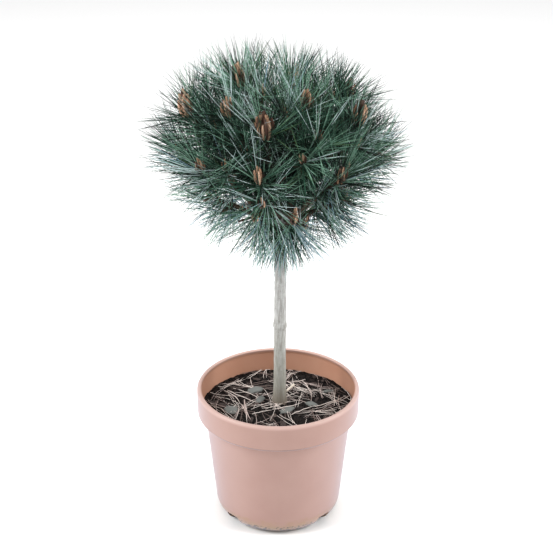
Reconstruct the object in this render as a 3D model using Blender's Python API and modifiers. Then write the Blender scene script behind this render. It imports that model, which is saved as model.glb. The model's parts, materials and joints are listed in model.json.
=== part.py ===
"""A standard pine in its pot: a bare stem, a crown of long-needled shoots, brown candles at their tips.

Metres, +Z up. The origin is the middle of the pot's flat underside, and -Y is the front.
Run it with: blender --background --python part.py
"""

import math
import random
from collections import namedtuple

import bmesh
import bpy
from mathutils import Matrix, Vector, noise

CLEARANCE = 0.0003  # between two pieces that touch

# The pot: a plastic container with a deep collar, rounded at the foot.
POT_HEIGHT = 0.188
RIM_RADIUS = 0.110
LIP_WIDTH = 0.0062
COLLAR_DEPTH = 0.0375
COLLAR_WALL = 0.0042
BODY_TOP_RADIUS = 0.0985
BODY_FOOT_RADIUS = 0.0855
BODY_WALL = 0.0028
LEDGE_RISE = 0.003
FLOOR = 0.0034
CORNER_RISE = 0.024
CORNER_INSET = 0.022
FOOT_NOTCH_TURNS = (-138.0, -42.0, 42.0, 138.0)  # degrees round the pot
FOOT_NOTCH_WIDTH = 0.0225
FOOT_NOTCH_HEIGHT = 0.0175
FOOT_NOTCH_INNER_RADIUS = 0.050
POT_SIDES = 38

# The potting soil: it fills the pot to the collar's step and is mounded round the stem.
SOIL_EDGE_HEIGHT = 0.155
SOIL_TOP_HEIGHT = 0.1585
SOIL_GAP = 0.0005
SOIL_FOOT_INSET = 0.026
SOIL_PAD_RADIUS = 0.026
SOIL_LUMP = 0.0022
SOIL_SIDES = 28

# The stem: bare up to the graft, where the boughs leave a swollen head.
STEM_FOOT = Vector((0.002, 0.009, SOIL_TOP_HEIGHT + CLEARANCE))
STEM_LEAN = Vector((0.0015, -0.001, 0.0))
STEM_RADIUS = 0.0083
STEM_TOP_RADIUS = 0.0077
STEM_SIDES = 12
STEM_CROWN_TAPER = 0.86  # of the radius, at the very top
ROOT_FLARE = 0.0028
ROOT_FLARE_HEIGHT = 0.020
NODE_HEIGHT = 0.276
NODE_SWELL = 0.0014
NODE_SPREAD = 0.0045
HEAD_HEIGHT = 0.440
HEAD_SWELL = 0.0045
HEAD_SPREAD = 0.020
HEAD_RADIUS = STEM_TOP_RADIUS + HEAD_SWELL
STEM_TOP_HEIGHT = 0.468

# Boughs and shoots.
BOUGH_ROOT_RADIUS = 0.0040
BOUGH_TIP_RADIUS = 0.0030
BOUGH_SHARE = 0.40  # of the way from the head to the tuft's tip
BOUGH_POINTS = 4
BOUGH_SIDES = 6
BOUGH_FLATTER = 0.42  # how steeply it leaves the head, as a share of how steeply it ends
STEM_SHARE = 0.14  # of the way from the bough's end to the tuft's tip
STEM_SUNK = 0.005  # into the core of the shoot
TWIG_SIDES = 5
CORE_RADIUS = 0.0175
SIDE_CORE_RADIUS = 0.0100
CORE_FACETS = 6, 4  # round it and along it
CORE_DRAWN = 0.75
SIDE_SHOOT_SHARE = 0.66
SIDE_SHOOT_TURN = 30.0
SIDE_SHOOT_TRIES = 12

# Needles: each stands for a small spray, so it is wider than a single one.
NEEDLE_LENGTH = 0.078
NEEDLE_RADIUS = 0.0028
FACES_ON = 1.5  # of the core's sides, from each needle to the next
NEEDLE_PITCH = 0.0034
NEEDLE_OPEN_AT_FOOT = 80.0
NEEDLE_OPEN_AT_TIP = 44.0
NEEDLE_FIRST = 0.06  # where needles start and end, as shares of the shoot's length
NEEDLE_LAST = 0.88
NEEDLE_TRIES = 14
NEEDLE_CLOSING = 0.6  # of the opening, given up by the last try
NEEDLE_SHORTENING = 0.2
NEEDLE_SIDES = 3
NEEDLE_APART = 0.0042  # between the middles of two needles outside the core
NEEDLE_GAP = 0.0005

# The crown's outline, row by row from below: (height, its radius, where its middle is along X).
CROWN_OUTLINE = (
    (0.350, 0.028, 0.000),
    (0.380, 0.050, 0.002),
    (0.400, 0.080, 0.003),
    (0.420, 0.100, 0.004),
    (0.440, 0.117, 0.004),
    (0.460, 0.134, 0.004),
    (0.480, 0.148, 0.003),
    (0.500, 0.160, 0.000),
    (0.520, 0.168, -0.003),
    (0.550, 0.174, -0.005),
    (0.570, 0.168, -0.005),
    (0.600, 0.155, -0.006),
    (0.620, 0.144, -0.010),
    (0.640, 0.116, -0.018),
    (0.660, 0.070, -0.032),
    (0.682, 0.020, -0.044),
)
OUTLINE_PLAY = 0.93, 1.10  # least and most of it that a needle keeps to
NEEDLE_CUTS = (1.0, 0.93, 0.86, 0.79, 0.72, 0.65, 0.58, 0.51)  # shares of a needle that may be kept

# Candles: upright brown spindles in a cluster at a shoot's tip.
CANDLE_SUNK = 0.010
CANDLE_LENGTH = 0.038
CANDLE_RADIUS = 0.0052
CANDLE_FACETS = 5, 3
CANDLE_DRAWN = 1.3
SIDE_CANDLE_SIDES = 3
CANDLE_LEAN = 0.45  # how far the cluster follows its shoot instead of standing upright
SIDE_CANDLES = 3
SIDE_CANDLE_SPREAD = 0.36
SIDE_CANDLE_LENGTH = 0.030
SIDE_CANDLE_RADIUS = 0.0040
BUD_LENGTH = 0.020
BUD_RADIUS = 0.0036

# One row for each tuft: where its tip stands, as seen from the middle of the pot.
Tuft = namedtuple("Tuft", "name azimuth reach height leaves_at candles")
LOW, SIDE, UPPER, TOP = 0.420, 0.4315, 0.4445, 0.4570
TUFTS = (
    Tuft("low_front", -74, 0.076, 0.463, LOW, True),
    Tuft("low_front_right", -20, 0.090, 0.474, LOW, True),
    Tuft("low_right", 30, 0.088, 0.464, LOW, False),
    Tuft("low_back", 84, 0.086, 0.458, LOW, False),
    Tuft("low_back_left", 136, 0.088, 0.464, LOW, False),
    Tuft("low_left", -170, 0.088, 0.473, LOW, False),
    Tuft("low_front_left", -122, 0.080, 0.477, LOW, False),
    Tuft("side_front", -102, 0.124, 0.540, SIDE, True),
    Tuft("side_front_right", -50, 0.124, 0.530, SIDE, True),
    Tuft("side_right", -5, 0.130, 0.530, SIDE, False),
    Tuft("side_back_right", 40, 0.124, 0.534, SIDE, True),
    Tuft("side_back", 86, 0.120, 0.536, SIDE, True),
    Tuft("side_back_left", 130, 0.124, 0.534, SIDE, True),
    Tuft("side_left", 176, 0.132, 0.530, SIDE, False),
    Tuft("side_front_left", -142, 0.128, 0.538, SIDE, True),
    Tuft("upper_front", -101, 0.095, 0.590, UPPER, True),
    Tuft("upper_front_right", -60, 0.104, 0.582, UPPER, False),
    Tuft("upper_right", -15, 0.106, 0.583, UPPER, True),
    Tuft("upper_back_right", 32, 0.110, 0.590, UPPER, True),
    Tuft("upper_back", 77, 0.106, 0.594, UPPER, True),
    Tuft("upper_back_left", 120, 0.110, 0.590, UPPER, True),
    Tuft("upper_left", 172, 0.122, 0.578, UPPER, True),
    Tuft("upper_front_left", -140, 0.083, 0.604, UPPER, True),
    Tuft("top_right", -49, 0.055, 0.608, TOP, True),
    Tuft("top_left", 180, 0.051, 0.626, TOP, True),
    Tuft("top_back", 70, 0.054, 0.607, TOP, True),
)
STAGGER = 0.004  # from one bough of a ring to the next
SEED = 7


# ---------------------------------------------------------------- materials and scene


def material(name, red, green, blue, roughness):
    made = bpy.data.materials.new(name)
    made.use_nodes = True
    shader = made.node_tree.nodes["Principled BSDF"]
    shader.inputs["Base Color"].default_value = (red, green, blue, 1.0)
    shader.inputs["Roughness"].default_value = roughness
    return made


def clear_scene():
    for thing in list(bpy.data.objects):
        bpy.data.objects.remove(thing)


def collection(name, helper=False):
    made = bpy.data.collections.new(name)
    made.hide_render = helper
    bpy.context.scene.collection.children.link(made)
    return made


def add(name, mesh, home, surface=None):
    made = bpy.data.objects.new(name, mesh)
    home.objects.link(made)
    if surface:
        mesh.materials.clear()
        mesh.materials.append(surface)
    return made


def as_helper(thing):
    thing.hide_render = True
    thing.display_type = "WIRE"
    return thing


def applied(thing, weld=0.0):
    """The object's mesh with its modifiers applied and, if asked, vertices this close merged."""
    bpy.context.view_layer.update()
    graph = bpy.context.evaluated_depsgraph_get()
    mesh = bpy.data.meshes.new_from_object(thing.evaluated_get(graph))
    mesh.transform(thing.matrix_world)
    if weld:
        shape = bmesh.new()
        shape.from_mesh(mesh)
        bmesh.ops.remove_doubles(shape, verts=shape.verts, dist=weld)
        shape.to_mesh(mesh)
        shape.free()
    return mesh


def remove(thing):
    bpy.data.objects.remove(thing)


def shade_round(mesh, sharp_degrees=35):
    mesh.shade_smooth()
    mesh.set_sharp_from_angle(angle=math.radians(sharp_degrees))


# ---------------------------------------------------------------- turned and tubular shapes


def turned(name, profile, sides, home, surface):
    """A profile of (radius, height), inner side first and from the axis to the axis, turned about Z."""
    mesh = bpy.data.meshes.new(name)
    points = [(radius, 0.0, height) for radius, height in profile]
    mesh.from_pydata(points, [(i, i + 1) for i in range(len(points) - 1)], [])
    made = add(name, mesh, home, surface)
    screw = made.modifiers.new("turn", "SCREW")
    screw.steps = sides
    screw.render_steps = sides
    screw.use_merge_vertices = True
    screw.merge_threshold = 0.0001
    return made


def tube(name, points, radii, sides, home):
    """A tapering tube with filled caps along straight runs between the points, as a mesh object."""
    line = bpy.data.curves.new(name + "_line", "CURVE")
    line.dimensions = "3D"
    line.bevel_depth = 1.0
    line.bevel_resolution = (sides - 4) // 2
    line.use_fill_caps = True
    spline = line.splines.new("POLY")
    spline.points.add(len(points) - 1)
    for knot, place, radius in zip(spline.points, points, radii):
        knot.co = (*place, 1.0)
        knot.radius = radius
    guide = add(name + "_line", line, home)
    mesh = applied(guide, weld=1e-5)
    remove(guide)
    return add(name, mesh, home)


def cut(target, cutters):
    made = target.modifiers.new("cut", "BOOLEAN")
    made.operation = "DIFFERENCE"
    made.operand_type = "COLLECTION"
    made.collection = cutters
    return made


# ---------------------------------------------------------------- pot and soil


def corner_arc(radius, rise, inset, steps=3):
    """The rounded foot, from the wall at height rise down to the ground, as (radius, height)."""
    turns = [math.pi / 2 * i / steps for i in range(1, steps + 1)]
    return [(radius - inset * (1 - math.cos(a)), rise * (1 - math.sin(a))) for a in turns]


def inner_wall():
    """The inside of the pot from its floor to the collar and the rim, as (radius, height)."""
    arc = corner_arc(BODY_FOOT_RADIUS - BODY_WALL, CORNER_RISE, CORNER_INSET)
    step_height = POT_HEIGHT - COLLAR_DEPTH
    return [
        *((radius, height + FLOOR) for radius, height in reversed(arc)),
        (BODY_FOOT_RADIUS - BODY_WALL, CORNER_RISE + FLOOR),
        (BODY_TOP_RADIUS - BODY_WALL, step_height),
        (RIM_RADIUS - COLLAR_WALL - 0.0005, step_height + LEDGE_RISE),
        (RIM_RADIUS - COLLAR_WALL, POT_HEIGHT - 0.007),
        (RIM_RADIUS - LIP_WIDTH, POT_HEIGHT - 0.0012),
    ]


def outer_wall():
    """The outside of the pot from the rim down to the ground, as (radius, height)."""
    step_height = POT_HEIGHT - COLLAR_DEPTH
    return [
        (RIM_RADIUS - LIP_WIDTH + 0.0018, POT_HEIGHT),
        (RIM_RADIUS - 0.0018, POT_HEIGHT),
        (RIM_RADIUS, POT_HEIGHT - 0.0025),
        (RIM_RADIUS - 0.0004, step_height + 0.0025),
        (RIM_RADIUS - 0.0024, step_height),
        (BODY_TOP_RADIUS + 0.0006, step_height - 0.0015),
        (BODY_FOOT_RADIUS, CORNER_RISE),
        *corner_arc(BODY_FOOT_RADIUS, CORNER_RISE, CORNER_INSET),
    ]


def notch_cutter(turn, home):
    """A block through the pot's rounded foot, between two of its feet, this many degrees round it."""
    inner, outer = FOOT_NOTCH_INNER_RADIUS, BODY_FOOT_RADIUS + 0.01
    shape = bmesh.new()
    bmesh.ops.create_cube(shape, size=1.0)
    height = 2 * FOOT_NOTCH_HEIGHT
    bmesh.ops.scale(shape, vec=(outer - inner, FOOT_NOTCH_WIDTH, height), verts=shape.verts)
    bmesh.ops.translate(shape, vec=((outer + inner) / 2, 0, 0), verts=shape.verts)
    mesh = bpy.data.meshes.new("notch")
    shape.to_mesh(mesh)
    shape.free()
    mesh.transform(Matrix.Rotation(math.radians(turn), 4, "Z"))
    as_helper(add("notch", mesh, home))


def make_pot(home, cutters, surface):
    profile = [(0.0, FLOOR), *inner_wall(), *outer_wall(), (0.0, 0.0)]
    pot = turned("pot", profile, POT_SIDES, home, surface)
    shade_round(pot.data)
    for turn in FOOT_NOTCH_TURNS:
        notch_cutter(turn, cutters)
    cut(pot, cutters)


def soil_profile():
    """Flat pad, mound, edge on the collar's ledge, then down the wall, as (radius, height)."""
    foot_wall, top_wall, ledge = inner_wall()[3:6]
    mound = [
        (radius, SOIL_TOP_HEIGHT + (SOIL_EDGE_HEIGHT - SOIL_TOP_HEIGHT) * share)
        for radius, share in ((0.046, 0.2), (0.066, 0.5), (0.086, 0.85))
    ]
    bottom = FLOOR + CLEARANCE
    return [
        (0.0, SOIL_TOP_HEIGHT),
        (SOIL_PAD_RADIUS, SOIL_TOP_HEIGHT),
        *mound,
        (ledge[0] - SOIL_GAP, SOIL_EDGE_HEIGHT),
        (ledge[0] - SOIL_GAP, ledge[1] + SOIL_GAP),
        (top_wall[0] - SOIL_GAP, top_wall[1] + SOIL_GAP / 2),
        (foot_wall[0] - SOIL_GAP, foot_wall[1]),
        (BODY_FOOT_RADIUS - SOIL_FOOT_INSET, bottom),
        (0.0, bottom),
    ]


def make_soil(home, surface):
    turned_soil = turned("soil_turned", soil_profile(), SOIL_SIDES, home, surface)
    mesh = applied(turned_soil)
    remove(turned_soil)
    for point in mesh.vertices:
        radius = point.co.xy.length
        if point.co.z > SOIL_EDGE_HEIGHT + 0.0001 and radius > SOIL_PAD_RADIUS + 0.001:
            point.co.z += SOIL_LUMP * noise.noise(point.co * 60)
    shade_round(mesh, 50)
    add("soil", mesh, home, surface)


# ---------------------------------------------------------------- stem and boughs


def stem_point(height):
    """The middle of the stem at a height: it leans a little on the way up."""
    share = (height - STEM_FOOT.z) / (STEM_TOP_HEIGHT - STEM_FOOT.z)
    place = STEM_FOOT + STEM_LEAN * share
    return Vector((place.x, place.y, height))


def bump(distance, spread):
    return math.exp(-((distance / spread) ** 2))


def stem_radius(height):
    share = (height - STEM_FOOT.z) / (STEM_TOP_HEIGHT - STEM_FOOT.z)
    plain = STEM_RADIUS + (STEM_TOP_RADIUS - STEM_RADIUS) * share
    flare = ROOT_FLARE * math.exp(-(height - STEM_FOOT.z) / (ROOT_FLARE_HEIGHT / 2))
    node = NODE_SWELL * bump(height - NODE_HEIGHT, NODE_SPREAD)
    head = HEAD_SWELL * bump(height - HEAD_HEIGHT, HEAD_SPREAD)
    return plain + flare + node + head


def stem_tube(name, home, grow=0.0):
    """The stem from its flat foot to its top, or the same grown all over, as a cutter."""
    foot, top = STEM_FOOT.z, STEM_TOP_HEIGHT
    heights = [
        foot,
        foot + 0.006,
        foot + 0.014,
        foot + ROOT_FLARE_HEIGHT * 1.4,
        NODE_HEIGHT - 2 * NODE_SPREAD,
        NODE_HEIGHT - 0.6 * NODE_SPREAD,
        NODE_HEIGHT + 0.6 * NODE_SPREAD,
        NODE_HEIGHT + 2 * NODE_SPREAD,
        HEAD_HEIGHT - 1.8 * HEAD_SPREAD,
        HEAD_HEIGHT - 0.9 * HEAD_SPREAD,
        HEAD_HEIGHT,
        HEAD_HEIGHT + 0.6 * HEAD_SPREAD,
        top + grow,
    ]
    points = [stem_point(height) for height in heights]
    radii = [stem_radius(height) + grow for height in heights]
    radii[-1] *= STEM_CROWN_TAPER
    return tube(name, points, radii, STEM_SIDES, home)


def make_stem(home, surface):
    stem = stem_tube("stem", home)
    stem.data.materials.clear()
    stem.data.materials.append(surface)
    shade_round(stem.data)


def tuft_tip(tuft):
    """Where the tuft's main shoot ends."""
    angle = math.radians(tuft.azimuth)
    return Vector((tuft.reach * math.cos(angle), tuft.reach * math.sin(angle), tuft.height))


def bough_line(tuft):
    """(points of the bough, its direction at the tip): it leaves the head flatter and bows up."""
    root = stem_point(tuft.leaves_at + STAGGER * (TUFTS.index(tuft) % 2))
    tip = tuft_tip(tuft)
    outward = Vector((tip.x - root.x, tip.y - root.y, 0))
    end = root + (outward + Vector((0, 0, tip.z - root.z))) * BOUGH_SHARE
    rise = math.atan2(tip.z - root.z, outward.length) * BOUGH_FLATTER
    leaving = outward.normalized() * math.cos(rise) + Vector((0, 0, math.sin(rise)))
    bow = root + leaving * (end - root).length * 0.5
    shares = [i / (BOUGH_POINTS - 1) for i in range(BOUGH_POINTS)]
    points = [root * (1 - t) ** 2 + bow * 2 * t * (1 - t) + end * t**2 for t in shares]
    return points, (points[-1] - points[-2]).normalized()


def make_bough(tuft, home, cutters, surface):
    """The bough, cut back where it meets the stem. Returns its points and its radius at each."""
    points, _ = bough_line(tuft)
    step = (BOUGH_TIP_RADIUS - BOUGH_ROOT_RADIUS) / (BOUGH_POINTS - 1)
    taper = [BOUGH_ROOT_RADIUS + step * i for i in range(BOUGH_POINTS)]
    whole = tube("whole_bough", points, taper, BOUGH_SIDES, home)
    cut(whole, cutters)
    mesh = applied(whole)
    remove(whole)
    shade_round(mesh)
    add("bough_" + tuft.name, mesh, home, surface)
    return points, taper


# ---------------------------------------------------------------- tufts of needles


Twig = namedtuple("Twig", "start end radius end_radius")


def between(low, high, draw):
    return low + (high - low) * draw.random()


def twigs_of(tuft):
    """The stem that carries on from the bough and the main shoot at its end."""
    points, along = bough_line(tuft)
    tip = tuft_tip(tuft)
    start = points[-1] + along * CLEARANCE
    fork = start + along * (tip - start).length * STEM_SHARE
    stem = Twig(start, fork + along * STEM_SUNK, BOUGH_TIP_RADIUS, BOUGH_TIP_RADIUS)
    return stem, Twig(fork, tip, CORE_RADIUS, CORE_RADIUS)


def side_shoot_of(main, space, draw):
    """A shorter shoot that turns away from the main one, or None where there is no room for it."""
    heading = (main.end - main.start).normalized()
    branch = main.start + heading * CORE_RADIUS
    reach = (main.end - main.start).length * SIDE_SHOOT_SHARE
    angle = math.radians(SIDE_SHOOT_TURN)
    for _ in range(SIDE_SHOOT_TRIES):
        turn = Matrix.Rotation(2 * math.pi * draw.random(), 3, heading)
        sideways = turn @ heading.orthogonal().normalized()
        end = branch + (heading * math.cos(angle) + sideways * math.sin(angle)) * reach
        if space.holds(branch, end, SIDE_CORE_RADIUS):
            return Twig(branch, end, SIDE_CORE_RADIUS, SIDE_CORE_RADIUS)
    return None


def segments_gap(a0, a1, b0, b1):
    """The least distance between two straight runs."""
    a, b, r = a1 - a0, b1 - b0, a0 - b0
    aa, bb, ab = a.dot(a), b.dot(b), a.dot(b)
    ar, br = a.dot(r), b.dot(r)
    spread = aa * bb - ab * ab
    s = min(1.0, max(0.0, (ab * br - bb * ar) / spread)) if spread > 1e-12 else 0.0
    t = min(1.0, max(0.0, (ab * s + br) / bb))
    s = min(1.0, max(0.0, (ab * t - ar) / aa))
    return (a0 + a * s - b0 - b * t).length


class Space:
    """The room that a tuft keeps to: a cone from the head round its own tip, clear of all limbs."""

    def __init__(self, own, tips, limbs):
        centre = stem_point(HEAD_HEIGHT)
        facing = (own - centre).normalized()
        others = [(tip - centre).normalized() for tip in tips if tip != own]
        self.planes = [((other - facing).normalized(), centre) for other in others]
        self.limbs = limbs

    def holds(self, start, end, radius):
        margin = radius + NEEDLE_GAP / 2
        for normal, middle in self.planes:
            if (start - middle).dot(normal) > -margin or (end - middle).dot(normal) > -margin:
                return False
        for limb in self.limbs:
            gap = segments_gap(start, end, limb.start, limb.end)
            if gap < max(limb.radius, limb.end_radius) + margin:
                return False
        return True


def frame_along(start, end):
    """A matrix that puts a piece made along +Z from the origin at start, pointing to end."""
    turn = (end - start).to_track_quat("Z", "Y").to_matrix().to_4x4()
    return Matrix.Translation(start) @ turn


def cone_mesh(name, start, end, radius, end_radius, sides):
    shape = bmesh.new()
    length = (end - start).length
    bmesh.ops.create_cone(
        shape, cap_ends=True, segments=sides, radius1=radius, radius2=end_radius, depth=length
    )
    bmesh.ops.translate(shape, vec=(0, 0, length / 2), verts=shape.verts)
    mesh = bpy.data.meshes.new(name)
    shape.to_mesh(mesh)
    shape.free()
    mesh.transform(frame_along(start, end))
    return mesh


def spindle_mesh(name, start, end, radius, facets, drawn):
    """A spindle with points at both ends. It is widest half way, or nearer its start if drawn is over 1."""
    shape = bmesh.new()
    sides, rings = facets
    bmesh.ops.create_uvsphere(shape, u_segments=sides, v_segments=rings, radius=1.0)
    length = (end - start).length
    for point in shape.verts:
        share = (point.co.z + 1) / 2
        point.co = Vector((point.co.x * radius, point.co.y * radius, share**drawn * length))
    mesh = bpy.data.meshes.new(name)
    shape.to_mesh(mesh)
    shape.free()
    mesh.transform(frame_along(start, end))
    return mesh


def needle_aim(index, share, attempt, draw):
    """The needle as a vector beside a shoot along +Z: later tries stay closer to the shoot."""
    given_up = attempt / NEEDLE_TRIES
    face = FACES_ON * index + attempt + 0.5 + between(-0.14, 0.14, draw)
    azimuth = 2 * math.pi * face / CORE_FACETS[0]
    open_to = NEEDLE_OPEN_AT_FOOT + (NEEDLE_OPEN_AT_TIP - NEEDLE_OPEN_AT_FOOT) * share
    opening = math.radians(open_to * (1 - NEEDLE_CLOSING * given_up) + between(-8, 8, draw))
    size = NEEDLE_LENGTH * between(0.88, 1.08, draw) * (1 - NEEDLE_SHORTENING * given_up)
    outward = Vector((math.cos(azimuth), math.sin(azimuth), 0))
    return (outward * math.sin(opening) + Vector((0, 0, math.cos(opening)))) * size


def inside_outline(place, play):
    """Whether the outline times play holds a point: between two rows it runs straight."""
    for (low, narrow, left), (high, wide, right) in zip(CROWN_OUTLINE, CROWN_OUTLINE[1:]):
        if low <= place.z <= high:
            share = (place.z - low) / (high - low)
            middle = Vector((left + (right - left) * share, 0.0))
            return (place.xy - middle).length <= (narrow + (wide - narrow) * share) * play
    return False


def kept_inside(root, tip, play):
    """The needle's tip, drawn back to where the outline times play holds it. A stump gives None."""
    shares = (share for share in NEEDLE_CUTS if inside_outline(root.lerp(tip, share), play))
    share = next(shares, None)
    return root.lerp(tip, share) if share else None


def outside_core(root, tip):
    return root + (tip - root).normalized() * CORE_RADIUS, tip


def crosses(root, tip, placed):
    bare = outside_core(root, tip)
    return any(segments_gap(*bare, *outside_core(*other)) < NEEDLE_APART for other in placed)


def add_needles(twig, space, placed, draw):
    """Adds (root, tip) of each needle on a shoot: a spiral that opens wide at the shoot's foot."""
    place = frame_along(twig.start, twig.end)
    length = (twig.end - twig.start).length
    count = int(length / NEEDLE_PITCH)
    for index in range(count):
        share = (index + 0.5) / count
        height = Vector((0, 0, length * (NEEDLE_FIRST + (NEEDLE_LAST - NEEDLE_FIRST) * share)))
        root = place @ height
        for attempt in range(NEEDLE_TRIES):
            full = place @ (height + needle_aim(index, share, attempt, draw))
            tip = kept_inside(root, full, between(*OUTLINE_PLAY, draw))
            if tip and not crosses(root, tip, placed) and space.holds(root, tip, NEEDLE_RADIUS):
                placed.append((root, tip))
                break


def keep_outer_shell(mesh):
    """Fills any hollow that the join sealed and drops any scrap: only the largest island stays."""
    shape = bmesh.new()
    shape.from_mesh(mesh)
    waiting = set(shape.verts)
    islands = []
    while waiting:
        island, edge = set(), {waiting.pop()}
        while edge:
            island |= edge
            edge = {link.other_vert(point) for point in edge for link in point.link_edges} - island
        waiting -= island
        islands.append(island)
    islands.sort(key=len)
    spare = [point for island in islands[:-1] for point in island]
    bmesh.ops.delete(shape, geom=spare, context="VERTS")
    shape.to_mesh(mesh)
    shape.free()
    return mesh


def join_all(body, loose):
    """Boolean union of a piece with a collection, applied; the collection and its pieces go."""
    join = body.modifiers.new("join", "BOOLEAN")
    join.operation = "UNION"
    join.operand_type = "COLLECTION"
    join.collection = loose
    join.solver = "MANIFOLD"
    mesh = keep_outer_shell(applied(body))
    for thing in [body, *loose.objects]:
        remove(thing)
    bpy.data.collections.remove(loose)
    return mesh


def add_candles(main, tuft, loose):
    """Brown candles, or a plain bud, that turn up from the end of the main shoot."""
    heading = (main.end - main.start).normalized()
    upright = (heading * CANDLE_LEAN + Vector((0, 0, 1))).normalized()
    length = CANDLE_LENGTH if tuft.candles else BUD_LENGTH
    radius = CANDLE_RADIUS if tuft.candles else BUD_RADIUS
    foot = main.end - heading * CANDLE_SUNK
    main_candle = foot + upright * length
    candle = spindle_mesh("candle", foot, main_candle, radius, CANDLE_FACETS, CANDLE_DRAWN)
    add("candle", candle, loose)
    for index in range(SIDE_CANDLES if tuft.candles else 0):
        turn = Matrix.Rotation(2 * math.pi * (index + 0.3) / SIDE_CANDLES, 3, upright)
        out = turn @ upright.orthogonal().normalized()
        high = foot + (upright + out * SIDE_CANDLE_SPREAD).normalized() * SIDE_CANDLE_LENGTH
        add("candle", cone_mesh("candle", foot, high, SIDE_CANDLE_RADIUS, 0.0, SIDE_CANDLE_SIDES), loose)


def make_tuft(tuft, twigs, space, home, draw, surface):
    """Twigs, needles and candles joined into one solid."""
    loose = collection("loose_" + tuft.name)
    stem, main = twigs
    side = side_shoot_of(main, space, draw)
    placed = []
    body = add("stem", cone_mesh("stem", *stem, TWIG_SIDES), home)
    for shoot in filter(None, (main, side)):
        core = spindle_mesh("core", shoot.start, shoot.end, shoot.radius, CORE_FACETS, CORE_DRAWN)
        add("core", core, loose)
        add_needles(shoot, space, placed, draw)
    for root, tip in placed:
        add("needle", cone_mesh("needle", root, tip, NEEDLE_RADIUS, 0.0, NEEDLE_SIDES), loose)
    add_candles(main, tuft, loose)
    add("tuft_" + tuft.name, join_all(body, loose), home, surface)


# ---------------------------------------------------------------- the whole plant


def main():
    clear_scene()
    plant = collection("standard_pine")
    notches = collection("pot_cutters", helper=True)
    clearances = collection("stem_clearance", helper=True)
    plastic = material("terracotta_plastic", 0.52, 0.26, 0.17, 0.45)
    earth = material("potting_soil", 0.045, 0.033, 0.026, 0.95)
    bark = material("grey_bark", 0.40, 0.36, 0.30, 0.8)
    needles = material("pine_needles", 0.055, 0.12, 0.075, 0.5)

    make_soil(plant, earth)
    make_stem(plant, bark)
    as_helper(stem_tube("stem_clearance", clearances, CLEARANCE))

    draw = random.Random(SEED)
    twigs = {tuft.name: twigs_of(tuft) for tuft in TUFTS}
    limbs = [Twig(STEM_FOOT, stem_point(STEM_TOP_HEIGHT), HEAD_RADIUS, HEAD_RADIUS)]
    for tuft in TUFTS:
        points, radii = make_bough(tuft, plant, clearances, bark)
        limbs += [Twig(*run) for run in zip(points, points[1:], radii, radii[1:])]
    tips = [tuft_tip(tuft) for tuft in TUFTS]
    for tuft in TUFTS:
        other_stems = [stem for name, (stem, _) in twigs.items() if name != tuft.name]
        space = Space(tuft_tip(tuft), tips, limbs + other_stems)
        make_tuft(tuft, twigs[tuft.name], space, plant, draw, needles)
    make_pot(plant, notches, plastic)


main()
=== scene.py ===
"""The looks of a standard pine in its pot: bark, needles, brown candles, potting soil and pot.

Metres, +Z up. The origin is the middle of the pot's flat underside, and -Y is the front.
"""

import json
import math
import random
from collections import namedtuple

import bmesh
import bpy
import numpy as np
from mathutils import Matrix, Vector, noise

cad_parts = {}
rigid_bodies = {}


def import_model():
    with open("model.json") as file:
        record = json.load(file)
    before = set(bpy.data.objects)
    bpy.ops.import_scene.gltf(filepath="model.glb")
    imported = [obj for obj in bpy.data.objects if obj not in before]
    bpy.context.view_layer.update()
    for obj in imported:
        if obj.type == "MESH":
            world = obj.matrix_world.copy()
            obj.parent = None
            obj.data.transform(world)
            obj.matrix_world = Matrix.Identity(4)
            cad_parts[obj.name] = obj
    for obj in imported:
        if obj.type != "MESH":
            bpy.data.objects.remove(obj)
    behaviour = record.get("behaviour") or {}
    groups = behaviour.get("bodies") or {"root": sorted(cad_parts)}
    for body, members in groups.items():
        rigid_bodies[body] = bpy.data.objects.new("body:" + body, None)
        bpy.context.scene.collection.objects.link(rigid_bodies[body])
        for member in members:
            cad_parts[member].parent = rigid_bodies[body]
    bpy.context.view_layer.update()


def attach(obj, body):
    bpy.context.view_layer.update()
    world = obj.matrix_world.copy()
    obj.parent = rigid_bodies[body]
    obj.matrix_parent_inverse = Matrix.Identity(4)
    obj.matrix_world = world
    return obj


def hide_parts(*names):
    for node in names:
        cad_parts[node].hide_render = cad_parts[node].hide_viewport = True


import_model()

MM = 0.001
BODY = "root"

# ---------------------------------------------------------------- sizes shared with the solids

POT_HEIGHT = 0.188
RIM_RADIUS = 0.110
LIP_WIDTH = 0.0062
COLLAR_DEPTH = 0.0375
COLLAR_WALL = 0.0042
BODY_TOP_RADIUS = 0.0985
BODY_FOOT_RADIUS = 0.0855
BODY_WALL = 0.0028
LEDGE_RISE = 0.003
FLOOR = 0.0034
CORNER_RISE = 0.024
CORNER_INSET = 0.022
FOOT_NOTCH_TURNS = (-138.0, -42.0, 42.0, 138.0)
FOOT_NOTCH_WIDTH = 0.0225
FOOT_NOTCH_HEIGHT = 0.0175
FOOT_NOTCH_INNER_RADIUS = 0.050

SOIL_EDGE_HEIGHT = 0.155
SOIL_TOP_HEIGHT = 0.1585
SOIL_GAP = 0.0005

CLEARANCE = 0.0003
STEM_FOOT = Vector((0.002, 0.009, SOIL_TOP_HEIGHT + CLEARANCE))
STEM_LEAN = Vector((0.0015, -0.001, 0.0))
STEM_RADIUS = 0.0083
STEM_TOP_RADIUS = 0.0077
ROOT_FLARE = 0.0028
ROOT_FLARE_HEIGHT = 0.020
NODE_HEIGHT = 0.276
NODE_SWELL = 0.0014
NODE_SPREAD = 0.0045
HEAD_HEIGHT = 0.440
HEAD_SWELL = 0.0045
HEAD_SPREAD = 0.020
HEAD_RADIUS = STEM_TOP_RADIUS + HEAD_SWELL
STEM_TOP_HEIGHT = 0.468

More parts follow.
